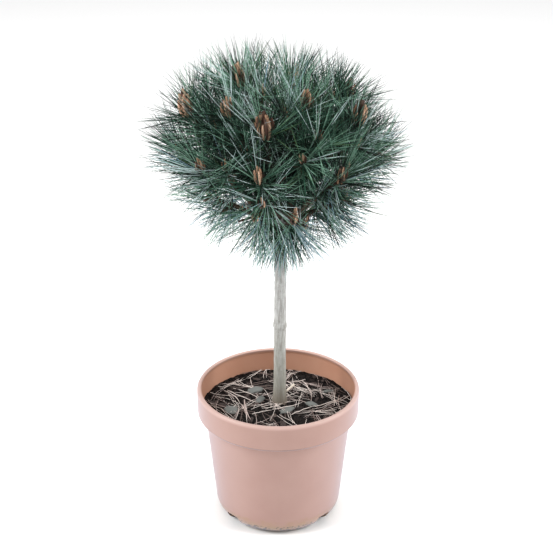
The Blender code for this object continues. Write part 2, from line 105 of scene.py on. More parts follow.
BOUGH_ROOT_RADIUS = 0.0040
BOUGH_TIP_RADIUS = 0.0030
BOUGH_SHARE = 0.40
BOUGH_POINTS = 4
BOUGH_FLATTER = 0.42
STEM_SHARE = 0.14
STEM_SUNK = 0.005
CORE_RADIUS = 0.0175
SIDE_CORE_RADIUS = 0.0100
CORE_SIDES = 6
SIDE_SHOOT_SHARE = 0.66
SIDE_SHOOT_TURN = 30.0
SIDE_SHOOT_TRIES = 12

NEEDLE_LENGTH = 0.078
NEEDLE_RADIUS = 0.0028
FACES_ON = 1.5
NEEDLE_PITCH = 0.0034
NEEDLE_OPEN_AT_FOOT = 80.0
NEEDLE_OPEN_AT_TIP = 44.0
NEEDLE_FIRST = 0.06
NEEDLE_LAST = 0.88
NEEDLE_TRIES = 14
NEEDLE_CLOSING = 0.6
NEEDLE_SHORTENING = 0.2
NEEDLE_APART = 0.0042
NEEDLE_GAP = 0.0005
# The crown's outline, row by row from below: (height, its radius, where its middle is along X).
CROWN_OUTLINE = (
    (0.350, 0.028, 0.000),
    (0.380, 0.050, 0.002),
    (0.400, 0.080, 0.003),
    (0.420, 0.100, 0.004),
    (0.440, 0.117, 0.004),
    (0.460, 0.134, 0.004),
    (0.480, 0.148, 0.003),
    (0.500, 0.160, 0.000),
    (0.520, 0.168, -0.003),
    (0.550, 0.174, -0.005),
    (0.570, 0.168, -0.005),
    (0.600, 0.155, -0.006),
    (0.620, 0.144, -0.010),
    (0.640, 0.116, -0.018),
    (0.660, 0.070, -0.032),
    (0.682, 0.020, -0.044),
)
OUTLINE_PLAY = 0.93, 1.10  # least and most of it that a needle keeps to
NEEDLE_CUTS = (1.0, 0.93, 0.86, 0.79, 0.72, 0.65, 0.58, 0.51)  # shares of a needle that may be kept
CANDLE_SUNK = 0.010
CANDLE_LEAN = 0.45

Tuft = namedtuple("Tuft", "name azimuth reach height leaves_at candles")
LOW, SIDE, UPPER, TOP = 0.420, 0.4315, 0.4445, 0.4570
TUFTS = (
    Tuft("low_front", -74, 0.076, 0.463, LOW, True),
    Tuft("low_front_right", -20, 0.090, 0.474, LOW, True),
    Tuft("low_right", 30, 0.088, 0.464, LOW, False),
    Tuft("low_back", 84, 0.086, 0.458, LOW, False),
    Tuft("low_back_left", 136, 0.088, 0.464, LOW, False),
    Tuft("low_left", -170, 0.088, 0.473, LOW, False),
    Tuft("low_front_left", -122, 0.080, 0.477, LOW, False),
    Tuft("side_front", -102, 0.124, 0.540, SIDE, True),
    Tuft("side_front_right", -50, 0.124, 0.530, SIDE, True),
    Tuft("side_right", -5, 0.130, 0.530, SIDE, False),
    Tuft("side_back_right", 40, 0.124, 0.534, SIDE, True),
    Tuft("side_back", 86, 0.120, 0.536, SIDE, True),
    Tuft("side_back_left", 130, 0.124, 0.534, SIDE, True),
    Tuft("side_left", 176, 0.132, 0.530, SIDE, False),
    Tuft("side_front_left", -142, 0.128, 0.538, SIDE, True),
    Tuft("upper_front", -101, 0.095, 0.590, UPPER, True),
    Tuft("upper_front_right", -60, 0.104, 0.582, UPPER, False),
    Tuft("upper_right", -15, 0.106, 0.583, UPPER, True),
    Tuft("upper_back_right", 32, 0.110, 0.590, UPPER, True),
    Tuft("upper_back", 77, 0.106, 0.594, UPPER, True),
    Tuft("upper_back_left", 120, 0.110, 0.590, UPPER, True),
    Tuft("upper_left", 172, 0.122, 0.578, UPPER, True),
    Tuft("upper_front_left", -140, 0.083, 0.604, UPPER, True),
    Tuft("top_right", -49, 0.055, 0.608, TOP, True),
    Tuft("top_left", 180, 0.051, 0.626, TOP, True),
    Tuft("top_back", 70, 0.054, 0.607, TOP, True),
)
TUFT_NODES = ["tuft_" + tuft.name for tuft in TUFTS]
STAGGER = 0.004
SEED = 7

# ---------------------------------------------------------------- sizes of the finer things

POT_SIDES = 192
POT_STEPS = 12  # in the rounded corner at the pot's foot
POT_EDGE = 1.1 * MM
POT_SHARP = 38.0  # degrees between two faces, from which their edge is drawn sharp
NOTCH_EDGE = 3 * MM
# Heights between which a coat on the pot or the stem, or the pot's painted brim highlight, fades.
EARTH_SPLASH = 0.028, 0.040
FOOT_GRIT = 0.0140, 0.0165
BRIM_HIGHLIGHT = 0.1825, 0.1862
STEM_ALGAE = 0.17, 0.30
STEM_EARTH = 0.160, 0.186
SHADE_LINE_HEIGHT, SHADE_LINE_REACH = 0.1512, 0.0022  # a painted shadow line along the collar's lower edge
SOIL_SIDES, SOIL_ROWS = 260, 92
SOIL_LUMPS = ((1.9, 75, 3.1), (1.3, 190, 7.7), (0.55, 520, 1.3))  # (millimetres, how many on a metre, seed)
SOIL_SUNK = 0.4 * MM
NET_SIDES, NET_ROWS = 72, 30  # of the light net that the litter is strewn over
STEM_RINGS = 240
# Old scars round the stem: (height of the relief in millimetres, where it is, how far it spreads).
STEM_SCARS = (
    (0.35, NODE_HEIGHT + 0.004, 0.0012),
    (-0.30, NODE_HEIGHT - 0.0055, 0.0010),
    (0.45, 0.340, 0.0022),
)
# Radii of the twigs at their root and at their tip.
STUB_TWIG = 3.0 * MM, 2.9 * MM
MAIN_TWIG = 2.9 * MM, 2.3 * MM
SIDE_TWIG = 2.2 * MM, 1.7 * MM
FINE_TWIG = 1.7 * MM, 1.3 * MM

# Needles, in pairs. Each solid needle of the source becomes a spray of them.
FASCICLES = 2  # pairs in a spray
SPRAY_SPREAD = 32.0  # degrees that a pair turns from its spray
BRUSH_SPREAD = 20.0  # the same, on fine twigs and at the tips of shoots
ROOT_PLAY = 5 * MM  # along the shoot, from a pair to the middle of its spray
ROOT_STEP = 6 * MM  # by which a pair moves down its shoot rather than stand out of the outline
PAIR_SPREAD = 4.5
PAIR_LENGTHS = 0.82, 1.04
REAL_NEEDLE_RADIUS = 0.47 * MM
NEEDLE_BEND = 0.10  # of its length
NEEDLE_SIDES = 3
NEEDLE_TAPER = (0.85, 1.0, 0.95, 0.72, 0.12)
# Least and most of the crown's outline that the pairs of each ring keep to, and the few that stray.
FRINGE_PLAY = {"low": (0.92, 1.26), "side": (0.96, 1.10), "upper": (0.91, 1.09), "top": (0.72, 1.03)}
STRAY_PLAY = 1.04, 1.11
STRAY_CHANCE = 0.05
CROWN_DEPTH = 0.177  # from the stem to the front and the back, past which no needle is aimed
HANGING_SLOPE = -0.25  # a spray that falls more steeply than this is a hanging one
# Share of the sprays that are left out, so that light comes through under the crown and at its top.
THINNED = {"low_hanging": 0.25, "low_rising": 0.72, "side_hanging": 0.15, "top_rising": 0.10}
FINE_TWIGS = 3
FINE_TWIG_SHARE = 0.52
FINE_TWIG_TURN = 42.0
FINE_TWIG_ROOM = 3 * MM  # radius that it needs with its needles' sheaths
FINE_SPRAYS = 7
FINE_OPENINGS = 76, 40
FINE_CLOSING = 14  # degrees by which the last spray of a fine twig is closer to it
TIP_SPRAYS = 16
TIP_SHARES = 0.70, 0.97
TIP_OPENINGS = 22, 60
CLUSTER_OPENINGS = 34, 66  # round a bud cluster, which the needles leave in the open
OLD_OPENINGS = 40, 88
INNER_PAIRS = 80
INNER_LENGTHS = 0.55, 0.85
INNER_LEAST_HEIGHT = 0.490  # under it only the lowest ring's needles hang, so the crown is open there
HANGING_PAIRS = 18
HANGING_LENGTHS = 0.92, 1.16
HANGING_LEAST_HEIGHT = 0.352
STEM_PAIRS = 7  # to a low bough, hanging round the stem
STEM_PAIR_LENGTHS = 0.9, 1.2
GOLDEN_TURN = 2.39996  # radians from one leaf to the next

# The needles' colours, and how often each ring has them, in this order. The near-black deep green is partly
# painted shade; the pale bloom is partly painted highlight; the blue bloom is partly painted light bounced
# up from the white floor.
TONES = (
    ("pine_needle_deep_green", "#08170F"),
    ("pine_needle_blue_green", "#2C4E3E"),
    ("pine_needle_grey_green", "#79A08B"),
    ("pine_needle_pale_bloom", "#C4D8D8"),
    ("pine_needle_yellow_green", "#4E6B48"),
    ("pine_needle_blue_bloom", "#8FACBA"),
)
# The low ring and the hanging sprays take more of the pale and blue tones, as painted light bounced up from
# the white floor; the upper ring takes the most of the deep tone, as painted shade.
TONE_CHANCES = {
    "low": (0.13, 0.22, 0.26, 0.18, 0.02, 0.19),
    "side_hanging": (0.25, 0.27, 0.24, 0.10, 0.02, 0.12),
    "side": (0.36, 0.28, 0.20, 0.12, 0.02, 0.02),
    "upper": (0.44, 0.29, 0.18, 0.06, 0.03, 0.00),
    "top": (0.27, 0.29, 0.23, 0.14, 0.06, 0.01),
}

# A tuft's bud cluster: (candles round the middle one, size). The named ones differ from the plain one.
CLUSTERS = {
    "upper_front": (21, 1.12),
    "upper_left": (16, 1.05),
    "upper_right": (17, 1.05),
    "top_left": (13, 0.95),
    "top_right": (12, 0.9),
    "upper_front_left": (10, 0.85),
    "side_front": (8, 0.8),
    "side_front_left": (6, 0.65),
    "side_front_right": (7, 0.7),
}
PLAIN_CLUSTER = 8, 0.8
BARE_CLUSTER = 2, 0.55  # on a tuft without brown candles
SIDE_CLUSTER = 3, 0.5
SIDE_CLUSTER_SUNK = 0.004
CLUSTER_RADIUS = 5.6 * MM
CANDLE_TALL = 0.032
CANDLE_BOW = 0.10
CANDLE_LEVELS, CANDLE_SIDES = 9, 8
SCALE_ROWS, SCALE_COLUMNS = 9, 5

FALLEN_NEEDLES = 135
FALLEN_TAPER = (0.8, 1.0, 1.0, 1.0, 0.9, 0.7, 0.3)
FALLEN_TONE_CHANCES = (0.52, 0.30, 0.18)
# Laid one by one: (start x, y and end x, y in millimetres, bow as a share of the length, radius in mm,
# tone).
LAID_NEEDLES = (
    (-35, -28, -8, -19, 0.05, 0.54, 0),
    (-8, -18, 34, 4, -0.06, 0.50, 0),
    (-6, -14, 28, 32, 0.10, 0.47, 0),
    (18, -30, 51, -5, 0.03, 0.54, 0),
    (50, -6, 94, 26, -0.04, 0.50, 0),
    (-50, -1, -42, -40, 0.05, 0.83, 1),
    (-46, 10, -37, -41, -0.04, 0.83, 1),
    (-75, 42, -52, 4, 0.06, 0.58, 0),
    (-70, 40, -28, 2, -0.05, 0.58, 0),
    (-62, 46, -20, 6, 0.06, 0.50, 0),
    (34, 66, 46, 20, 0.05, 0.47, 0),
    (38, 70, 18, 60, 0.05, 0.47, 0),
)
# Weathered flakes of bark: (x, y, length in millimetres, turn in degrees).
LAID_CHIPS = (
    (-32, 38, 22, 20),
    (-64, -10, 24, -25),
    (12, -18, 23, 40),
    (-24, 12, 17, 70),
    (46, 2, 19, -30),
    (70, 40, 16, 15),
)
CUT_STICK = (12, 33, 22, 51)  # its ends, in millimetres

FLOOR_SIZE = 9.0
DAYLIGHT = 0.50
# Soft boxes on both sides and above: (name, place, size, watts). All are aimed at one spot.
SOFT_BOXES = (
    ("key", (-2.3, -0.7, 1.9), 1.3, 76.0),
    ("fill", (2.3, -0.5, 1.7), 1.3, 60.0),
    ("over", (0.1, 0.3, 2.7), 1.8, 46.0),
)
LIT_SPOT = Vector((0, 0, 0.36))
SENSOR_WIDTH, FOCAL_LENGTH = 36.0, 108.03
CAMERA_PLACE = (-0.0022, -1.95565, 1.30769)
CAMERA_TILT = 63.9715

# ---------------------------------------------------------------- helpers


def paint(code):
    """An sRGB hex colour as linear RGBA."""
    shades = [int(code[i : i + 2], 16) / 255 for i in (1, 3, 5)]
    linear = [s / 12.92 if s <= 0.04045 else ((s + 0.055) / 1.055) ** 2.4 for s in shades]
    return (*linear, 1.0)


def node(tree, kind, inputs=None, **settings):
    """A node with its settings. Each input, by name or number, takes a value or another node's output."""
    made = tree.nodes.new(kind)
    for key, value in settings.items():
        setattr(made, key, value)
    for key, value in (inputs or {}).items():
        if isinstance(value, bpy.types.NodeSocket):
            tree.links.new(value, made.inputs[key])
        else:
            made.inputs[key].default_value = value
    return made


def surface(name, roughness=0.5, colour="#808080", **sockets):
    """A material with its shader. Sockets are the shader's own, by name with _ for a space."""
    made = bpy.data.materials.new(name)
    made.use_nodes = True
    tree = made.node_tree
    shader = tree.nodes["Principled BSDF"]
    shader.inputs["Base Color"].default_value = paint(colour)
    shader.inputs["Roughness"].default_value = roughness
    for key, value in sockets.items():
        shader.inputs[key.replace("_", " ")].default_value = value
    return made, tree, shader


def plain(name, roughness, colour, **sockets):
    return surface(name, roughness, colour, **sockets)[0]


def reckoned(tree, operation, *values):
    return node(tree, "ShaderNodeMath", dict(enumerate(values)), operation=operation).outputs[0]


def span(tree, value, start, end, least=0.0, most=1.0):
    """The value, mapped from start..end to least..most."""
    inputs = {"Value": value, "From Min": start, "From Max": end, "To Min": least, "To Max": most}
    return node(tree, "ShaderNodeMapRange", inputs).outputs[0]


def speckle(tree, place, scale, detail, roughness=0.5):
    inputs = {"Vector": place, "Scale": scale, "Detail": detail, "Roughness": roughness}
    return node(tree, "ShaderNodeTexNoise", inputs).outputs[0]


def blend(tree, share, under, over):
    """Two colours mixed, each a hex code or another node's output."""
    under, over = (paint(value) if isinstance(value, str) else value for value in (under, over))
    return node(tree, "ShaderNodeMix", {0: share, 6: under, 7: over}, data_type="RGBA").outputs[2]


def give_relief(tree, shader, height, strength, distance):
    raised = node(tree, "ShaderNodeBump", {"Height": height, "Strength": strength, "Distance": distance})
    tree.links.new(raised.outputs[0], shader.inputs["Normal"])


def local_place(tree):
    return node(tree, "ShaderNodeTexCoord").outputs["Object"]


def height_of(tree, place):
    return node(tree, "ShaderNodeSeparateXYZ", {0: place}).outputs["Z"]


def linked(name, data):
    """A new object in the scene."""
    made = bpy.data.objects.new(name, data)
    bpy.context.scene.collection.objects.link(made)
    return made


def evaluated(holder):
    """The mesh of an object after its modifiers. The object goes."""
    bpy.context.view_layer.update()
    graph = bpy.context.evaluated_depsgraph_get()
    made = bpy.data.meshes.new_from_object(holder.evaluated_get(graph), depsgraph=graph)
    bpy.data.objects.remove(holder)
    return made


def settled(mesh, tree, inputs):
    """The mesh after a Geometry Nodes tree with these named inputs, as a plain mesh."""
    holder = linked("holder", mesh)
    growth = holder.modifiers.new("growth", "NODES")
    growth.node_group = tree
    names = {
        item.name: item.identifier
        for item in tree.interface.items_tree
        if item.item_type == "SOCKET" and item.in_out == "INPUT"
    }
    for key, value in inputs.items():
        growth[names[key]] = value
    holder.update_tag()
    return evaluated(holder)


def growth_tree(name, sockets):
    """An empty Geometry Nodes tree with named inputs after its geometry: (tree, its inputs, its output)."""
    tree = bpy.data.node_groups.new(name, "GeometryNodeTree")
    tree.interface.new_socket("Geometry", in_out="INPUT", socket_type="NodeSocketGeometry")
    for key, kind in sockets.items():
        tree.interface.new_socket(key, in_out="INPUT", socket_type=kind)
    tree.interface.new_socket("Geometry", in_out="OUTPUT", socket_type="NodeSocketGeometry")
    return tree, tree.nodes.new("NodeGroupInput"), tree.nodes.new("NodeGroupOutput")


def piece(name, mesh, materials, nodes=()):
    """Puts a finished mesh in the scene, on the plant's one body."""
    made = linked(name, mesh)
    mesh.name = name
    if materials:
        mesh.materials.clear()
        for material in materials:
            mesh.materials.append(material)
    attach(made, BODY)
    if nodes:
        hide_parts(*nodes)
    return made


def turns(sides):
    return [2 * math.pi * i / sides for i in range(sides)]


def circle(radius, height, sides):
    return [(radius * math.cos(a), radius * math.sin(a), height) for a in turns(sides)]


def skin(rings):
    """A closed mesh through rings of points, each counted anticlockwise as seen from the end."""
    count = len(rings[0])
    points = [point for ring in rings for point in ring]
    faces = []
    for level in range(len(rings) - 1):
        low, high = level * count, (level + 1) * count
        for i in range(count):
            j = (i + 1) % count
            faces.append((low + i, low + j, high + j, high + i))
    for ring, turned in ((0, True), (len(rings) - 1, False)):
        middle = sum((Vector(p) for p in rings[ring]), Vector()) / count
        points.append(middle)
        for i in range(count):
            a, b = ring * count + i, ring * count + (i + 1) % count
            faces.append((b, a, len(points) - 1) if turned else (a, b, len(points) - 1))
    mesh = bpy.data.meshes.new("skin")
    mesh.from_pydata([tuple(p) for p in points], [], faces)
    mesh.shade_smooth()
    return mesh


def from_shape(shape, name):
    """A bmesh as a mesh."""
    made = bpy.data.meshes.new(name)
    shape.to_mesh(made)
    shape.free()
    return made


def joined(meshes, name):
    """Several meshes as one."""
    shape = bmesh.new()
    for mesh in meshes:
        shape.from_mesh(mesh)
        bpy.data.meshes.remove(mesh)
    return from_shape(shape, name)


def between(low, high, draw):
    return low + (high - low) * draw.random()


def bump(distance, spread):
    return math.exp(-((distance / spread) ** 2))


def smooth(share):
    share = min(1.0, max(0.0, share))
    return share * share * (3 - 2 * share)


# ---------------------------------------------------------------- materials


def bark_material(name, light, dark, speck, fissure_mm, green=None):
    """Young pine bark: smooth and grey, with fine lengthwise lines and dark cork pores."""
    made, tree, shader = surface(name, 0.78)
    place = local_place(tree)
    drawn = node(tree, "ShaderNodeMapping", {"Vector": place, "Scale": (1, 1, 0.10)}).outputs[0]
    lines = speckle(tree, drawn, 0.5 / (fissure_mm * MM), 6.0, 0.62)
    blotch = speckle(tree, place, 55.0, 4.0)
    colour = blend(tree, span(tree, lines, 0.40, 0.62), dark, light)
    colour = blend(tree, span(tree, blotch, 0.42, 0.68, 0.0, 0.45), colour, speck)
    flat = node(tree, "ShaderNodeMapping", {"Vector": place, "Scale": (1, 1, 1.9)}).outputs[0]
    cells = node(tree, "ShaderNodeTexVoronoi", {"Vector": flat, "Scale": 260.0})
    pore = span(tree, cells.outputs["Distance"], 0.10, 0.26, 0.75, 0.0)
    colour = blend(tree, pore, colour, speck)
    if green:
        height = height_of(tree, place)
        colour = blend(tree, span(tree, height, *STEM_ALGAE, 0.55, 0.0), colour, green)
        colour = blend(tree, span(tree, height, *STEM_EARTH, 0.85, 0.0), colour, "#5E5145")
    tree.links.new(colour, shader.inputs["Base Color"])
    give_relief(tree, shader, reckoned(tree, "SUBTRACT", lines, pore), 0.55, 0.6 * MM)
    return made


def pot_material(name, light, dark, sheen):
    """Polypropylene, injection moulded in a terracotta pigment: even and half matt, with a dusty foot, a
    painted shadow line under the collar and a painted highlight along the brim.
    """
    made, tree, shader = surface(
        name, 0.46, Sheen_Weight=sheen, Sheen_Roughness=0.45, Sheen_Tint=paint("#DCE2F6")
    )
    place = local_place(tree)
    height = height_of(tree, place)
    mottle = speckle(tree, place, 22.0, 5.0)
    colour = blend(tree, span(tree, mottle, 0.20, 0.80), dark, light)
    splash = reckoned(tree, "MULTIPLY_ADD", speckle(tree, place, 110.0, 6.0, 0.65), 0.030, height)
    colour = blend(tree, span(tree, splash, *EARTH_SPLASH, 0.8, 0.0), colour, "#9A7C5A")
    grit = span(tree, speckle(tree, place, 300.0, 2.0), 0.43, 0.57, 0.0, 0.018)
    crust = span(tree, reckoned(tree, "ADD", grit, height), *FOOT_GRIT, 0.95, 0.0)
    colour = blend(tree, crust, colour, "#1F170F")
    # Painted shadow: a darker line along the collar's lower edge, where the collar overhangs the body.
    painted_shade_line = reckoned(tree, "COMPARE", height, SHADE_LINE_HEIGHT, SHADE_LINE_REACH)
    colour = blend(tree, painted_shade_line, colour, "#7C5A4C")
    # Painted highlight: paler towards the brim, where the top light falls on it.
    colour = blend(tree, span(tree, height, *BRIM_HIGHLIGHT, 0.0, 0.85), colour, "#BFA096")
    tree.links.new(colour, shader.inputs["Base Color"])
    tree.links.new(span(tree, mottle, 0.3, 0.7, 0.40, 0.54), shader.inputs["Roughness"])
    give_relief(tree, shader, speckle(tree, place, 900.0, 2.0), 0.12, 0.2 * MM)
    return made


def soil_material():
    """Composted bark: crumbly, damp and nearly black between brown crumbs."""
    made, tree, shader = surface("composted_bark_soil", 0.93, Specular_IOR_Level=0.2)
    place = local_place(tree)
    crumbs = speckle(tree, place, 190.0, 8.0, 0.7)
    earth = blend(tree, span(tree, crumbs, 0.40, 0.66), "#080707", "#2A2321")
    lumps = node(tree, "ShaderNodeTexVoronoi", {"Vector": place, "Scale": 240.0}).outputs["Color"]
    flecked = blend(tree, span(tree, lumps, 0.80, 0.92, 0.0, 0.8), earth, "#6B5F59")
    tree.links.new(flecked, shader.inputs["Base Color"])
    give_relief(tree, shader, crumbs, 1.0, 1.6 * MM)
    return made


# ---------------------------------------------------------------- pot and soil


def corner_arc(radius, rise, inset, steps):
    angles = [math.pi / 2 * i / steps for i in range(1, steps + 1)]
    return [(radius - inset * (1 - math.cos(a)), rise * (1 - math.sin(a))) for a in angles]


def inner_wall(steps=3):
    """The inside of the pot from its floor to the collar and the rim, as (radius, height)."""
    arc = corner_arc(BODY_FOOT_RADIUS - BODY_WALL, CORNER_RISE, CORNER_INSET, steps)
    step_height = POT_HEIGHT - COLLAR_DEPTH
    return [
        *((radius, height + FLOOR) for radius, height in reversed(arc)),
        (BODY_FOOT_RADIUS - BODY_WALL, CORNER_RISE + FLOOR),
        (BODY_TOP_RADIUS - BODY_WALL, step_height),
        (RIM_RADIUS - COLLAR_WALL - 0.0005, step_height + LEDGE_RISE),
        (RIM_RADIUS - COLLAR_WALL, POT_HEIGHT - 0.007),
        (RIM_RADIUS - LIP_WIDTH, POT_HEIGHT - 0.0012),
    ]


def outer_wall(steps=3):
    """The outside of the pot from the rim down to the ground, as (radius, height)."""
    step_height = POT_HEIGHT - COLLAR_DEPTH
    return [
        (RIM_RADIUS - LIP_WIDTH + 0.0018, POT_HEIGHT),
        (RIM_RADIUS - 0.0018, POT_HEIGHT),
        (RIM_RADIUS, POT_HEIGHT - 0.0025),
        (RIM_RADIUS - 0.0004, step_height + 0.0025),
        (RIM_RADIUS - 0.0024, step_height),
        (BODY_TOP_RADIUS + 0.0006, step_height - 0.0015),
        (BODY_FOOT_RADIUS, CORNER_RISE),
        *corner_arc(BODY_FOOT_RADIUS, CORNER_RISE, CORNER_INSET, steps),
    ]


def rounded(profile, radius, steps=4):
    """The profile with each corner replaced by a small arc that keeps inside it."""
    points = [Vector(p) for p in profile]
    made = [points[0]]
    for before, corner, after in zip(points, points[1:], points[2:]):
        back, on = before - corner, after - corner
        cut = min(radius, back.length * 0.45, on.length * 0.45)
        start, end = corner + back.normalized() * cut, corner + on.normalized() * cut
        for i in range(steps + 1):
            t = i / steps
            made.append(start * (1 - t) ** 2 + corner * 2 * t * (1 - t) + end * t**2)
    made.append(points[-1])
    return made


def notch_cutter(turn):
    """A drain notch's room in the pot's foot, rounded at its top."""
    inner, outer = FOOT_NOTCH_INNER_RADIUS, BODY_FOOT_RADIUS + 0.01
    shape = bmesh.new()
    bmesh.ops.create_cube(shape, size=1.0)
    size = (outer - inner, FOOT_NOTCH_WIDTH, 2 * FOOT_NOTCH_HEIGHT)
    bmesh.ops.scale(shape, vec=size, verts=shape.verts)
    radial = [e for e in shape.edges if abs(e.verts[0].co.x - e.verts[1].co.x) > 0.001]
    top = [e for e in radial if e.verts[0].co.z > 0]
    bmesh.ops.bevel(shape, geom=top, offset=NOTCH_EDGE, segments=4, affect="EDGES", profile=0.5)
    bmesh.ops.translate(shape, vec=((outer + inner) / 2, 0, 0), verts=shape.verts)
    mesh = from_shape(shape, "notch")
    mesh.transform(Matrix.Rotation(math.radians(turn), 4, "Z"))
    return bpy.data.objects.new("notch", mesh)


def make_pot(outside, inside):
    profile = rounded([*inner_wall(POT_STEPS), *outer_wall(POT_STEPS)], POT_EDGE)
    rings = [circle(radius, height, POT_SIDES) for radius, height in profile]
    pot = linked("pot_shape", skin(rings[::-1]))
    cutters = bpy.data.collections.new("notches")
    bpy.context.scene.collection.children.link(cutters)
    for turn in FOOT_NOTCH_TURNS:
        cutters.objects.link(notch_cutter(turn))
    cut = pot.modifiers.new("notches", "BOOLEAN")
    cut.operand_type = "COLLECTION"
    cut.collection = cutters
    cut.solver = "EXACT"
    mesh = evaluated(pot)
    for cutter in list(cutters.objects):
        bpy.data.objects.remove(cutter)
    bpy.data.collections.remove(cutters)
    mesh.set_sharp_from_angle(angle=math.radians(POT_SHARP))
    piece("plastic_pot", mesh, [outside, inside], ["pot"])
    # The inward faces above the soil take the inside copy of the material, whose brighter, more saturated
    # colour is painted light bounced round inside the pot.
    for face in mesh.polygons:
        turned_in = face.normal.xy.dot(face.center.xy) < -0.1 * face.center.xy.length
        face.material_index = int(turned_in and face.center.z > SOIL_EDGE_HEIGHT - 0.005)


def soil_height(x, y):
    """The soil's surface: mounded, lumpy, a little lower along the wall."""
    radius = math.hypot(x, y)
    edge = RIM_RADIUS - COLLAR_WALL - 0.001
    mound = SOIL_TOP_HEIGHT + (SOIL_EDGE_HEIGHT - SOIL_TOP_HEIGHT) * smooth(radius / edge)
    lumps = sum(size * noise.noise(Vector((x * fine, y * fine, seed))) for size, fine, seed in SOIL_LUMPS)
    return mound + lumps * MM - SOIL_SUNK


def make_soil(material):
    wall = [(r, h) for r, h in inner_wall() if h <= POT_HEIGHT - COLLAR_DEPTH + LEDGE_RISE]
    edge = wall[-1][0] - SOIL_GAP
    radii = [0.0005, *(edge * row / SOIL_ROWS for row in range(1, SOIL_ROWS + 1))]
    flat = [circle(radius, 0, SOIL_SIDES) for radius in radii]
    upper = [[(x, y, soil_height(x, y)) for x, y, _ in ring] for ring in flat]
    lower = [circle(r - SOIL_GAP, h + SOIL_GAP, SOIL_SIDES) for r, h in reversed(wall)]
    mesh = skin((upper + lower)[::-1])
    piece("potting_soil", mesh, [material], ["soil"])


def soil_top_only():
    """A light net of the soil's surface, where the loose things are scattered."""
    edge = RIM_RADIUS - COLLAR_WALL - 0.0035
    flat = [(0, 0, 0)]
    for row in range(1, NET_ROWS + 1):
        flat += circle(edge * row / NET_ROWS, 0, NET_SIDES)
    points = [(x, y, soil_height(x, y)) for x, y, _ in flat]
    faces = [(0, 1 + i, 1 + (i + 1) % NET_SIDES) for i in range(NET_SIDES)]
    for row in range(1, NET_ROWS):
        low, high = 1 + (row - 1) * NET_SIDES, 1 + row * NET_SIDES
        for i in range(NET_SIDES):
            j = (i + 1) % NET_SIDES
            faces.append((low + i, high + i, high + j, low + j))
    mesh = bpy.data.meshes.new("soil_top")
    mesh.from_pydata(points, [], faces)
    return mesh


# ---------------------------------------------------------------- strewn things and strands


def scatter_tree():
    """Loose things strewn over a surface, each turned at random about the surface's normal and tumbled."""
    sockets = {key: "NodeSocketFloat" for key in ("Density", "Smallest", "Largest", "Tumble", "Lift")}
    sockets.update(Seed="NodeSocketInt", Shapes="NodeSocketCollection", Material="NodeSocketMaterial")
    tree, given, out = growth_tree("strewn", sockets)
    give = given.outputs
    inputs = {"Mesh": give["Geometry"], "Density": give["Density"], "Seed": give["Seed"]}
    spots = node(tree, "GeometryNodeDistributePointsOnFaces", inputs)
    raised = node(tree, "ShaderNodeCombineXYZ", {"Z": give["Lift"]})
    inputs = {"Geometry": spots.outputs["Points"], "Offset": raised.outputs[0]}
    lifted = node(tree, "GeometryNodeSetPosition", inputs)
    tumble = give["Tumble"]
    least = reckoned(tree, "MULTIPLY", tumble, -1.0)
    low = node(tree, "ShaderNodeCombineXYZ", {"X": least, "Y": least, "Z": -math.pi})
    high = node(tree, "ShaderNodeCombineXYZ", {"X": tumble, "Y": tumble, "Z": math.pi})
    inputs = {0: low.outputs[0], 1: high.outputs[0], "Seed": give["Seed"]}
    turn = node(tree, "FunctionNodeRandomValue", inputs, data_type="FLOAT_VECTOR")
    tumbled = node(tree, "FunctionNodeEulerToRotation", {0: turn.outputs[0]})
    inputs = {0: spots.outputs["Rotation"], 1: tumbled.outputs[0]}
    rotation = node(tree, "FunctionNodeRotateRotation", inputs, rotation_space="LOCAL")
    inputs = {2: give["Smallest"], 3: give["Largest"], "Seed": 11}
    size = node(tree, "FunctionNodeRandomValue", inputs, data_type="FLOAT")
    inputs = {"Collection": give["Shapes"], "Separate Children": True, "Reset Children": True}
    shapes = node(tree, "GeometryNodeCollectionInfo", inputs)
    inputs = {
        "Points": lifted.outputs[0],
        "Instance": shapes.outputs[0],
        "Pick Instance": True,
        "Rotation": rotation.outputs[0],
        "Scale": size.outputs[1],
    }
    strewn = node(tree, "GeometryNodeInstanceOnPoints", inputs)
    real = node(tree, "GeometryNodeRealizeInstances", {"Geometry": strewn.outputs[0]})
    inputs = {"Geometry": real.outputs[0], "Material": give["Material"]}
    painted = node(tree, "GeometryNodeSetMaterial", inputs)
    tree.links.new(painted.outputs[0], out.inputs[0])
    return tree


def shape_box(name, meshes):
    """A collection of loose shapes, kept out of the scene, for the scatter to pick from."""
    made = bpy.data.collections.new(name)
    for index, mesh in enumerate(meshes):
        made.objects.link(bpy.data.objects.new(f"{name}_{index}", mesh))
    return made


def chip_mesh(draw, flat, splits=1):
    """A broken flake of bark, one unit long: a flattened stone with split ends."""
    shape = bmesh.new()
    bmesh.ops.create_icosphere(shape, subdivisions=splits, radius=0.5)
    stretch = Vector((1.0, between(0.45, 0.8, draw), flat * between(0.7, 1.3, draw)))
    for point in shape.verts:
        rough = 1 + between(-0.22, 0.22, draw)
        point.co = point.co * stretch * rough
    return from_shape(shape, "chip")


def needle_path(root, heading, length, bend):
    """Points along a needle that leaves its root along heading and bows towards bend."""
    shares = np.linspace(0, 1, len(NEEDLE_TAPER))
    return [root + heading * (length * t) + bend * (length * t * t) for t in shares]


def lines_mesh(strands):
    """Strands, each a (path, taper, tone), as edges. Each point keeps its taper and tone as attributes."""
    points, edges, tapers, tones = [], [], [], []
    for path, taper, tone in strands:
        first = len(points)
        points += [tuple(p) for p in path]
        edges += [(first + i, first + i + 1) for i in range(len(path) - 1)]
        tapers += taper
        tones += [tone] * len(path)
    mesh = bpy.data.meshes.new("lines")
    mesh.from_pydata(points, edges, [])
    mesh.attributes.new("taper", "FLOAT", "POINT").data.foreach_set("value", tapers)
    mesh.attributes.new("tone", "INT", "POINT").data.foreach_set("value", tones)
    return mesh


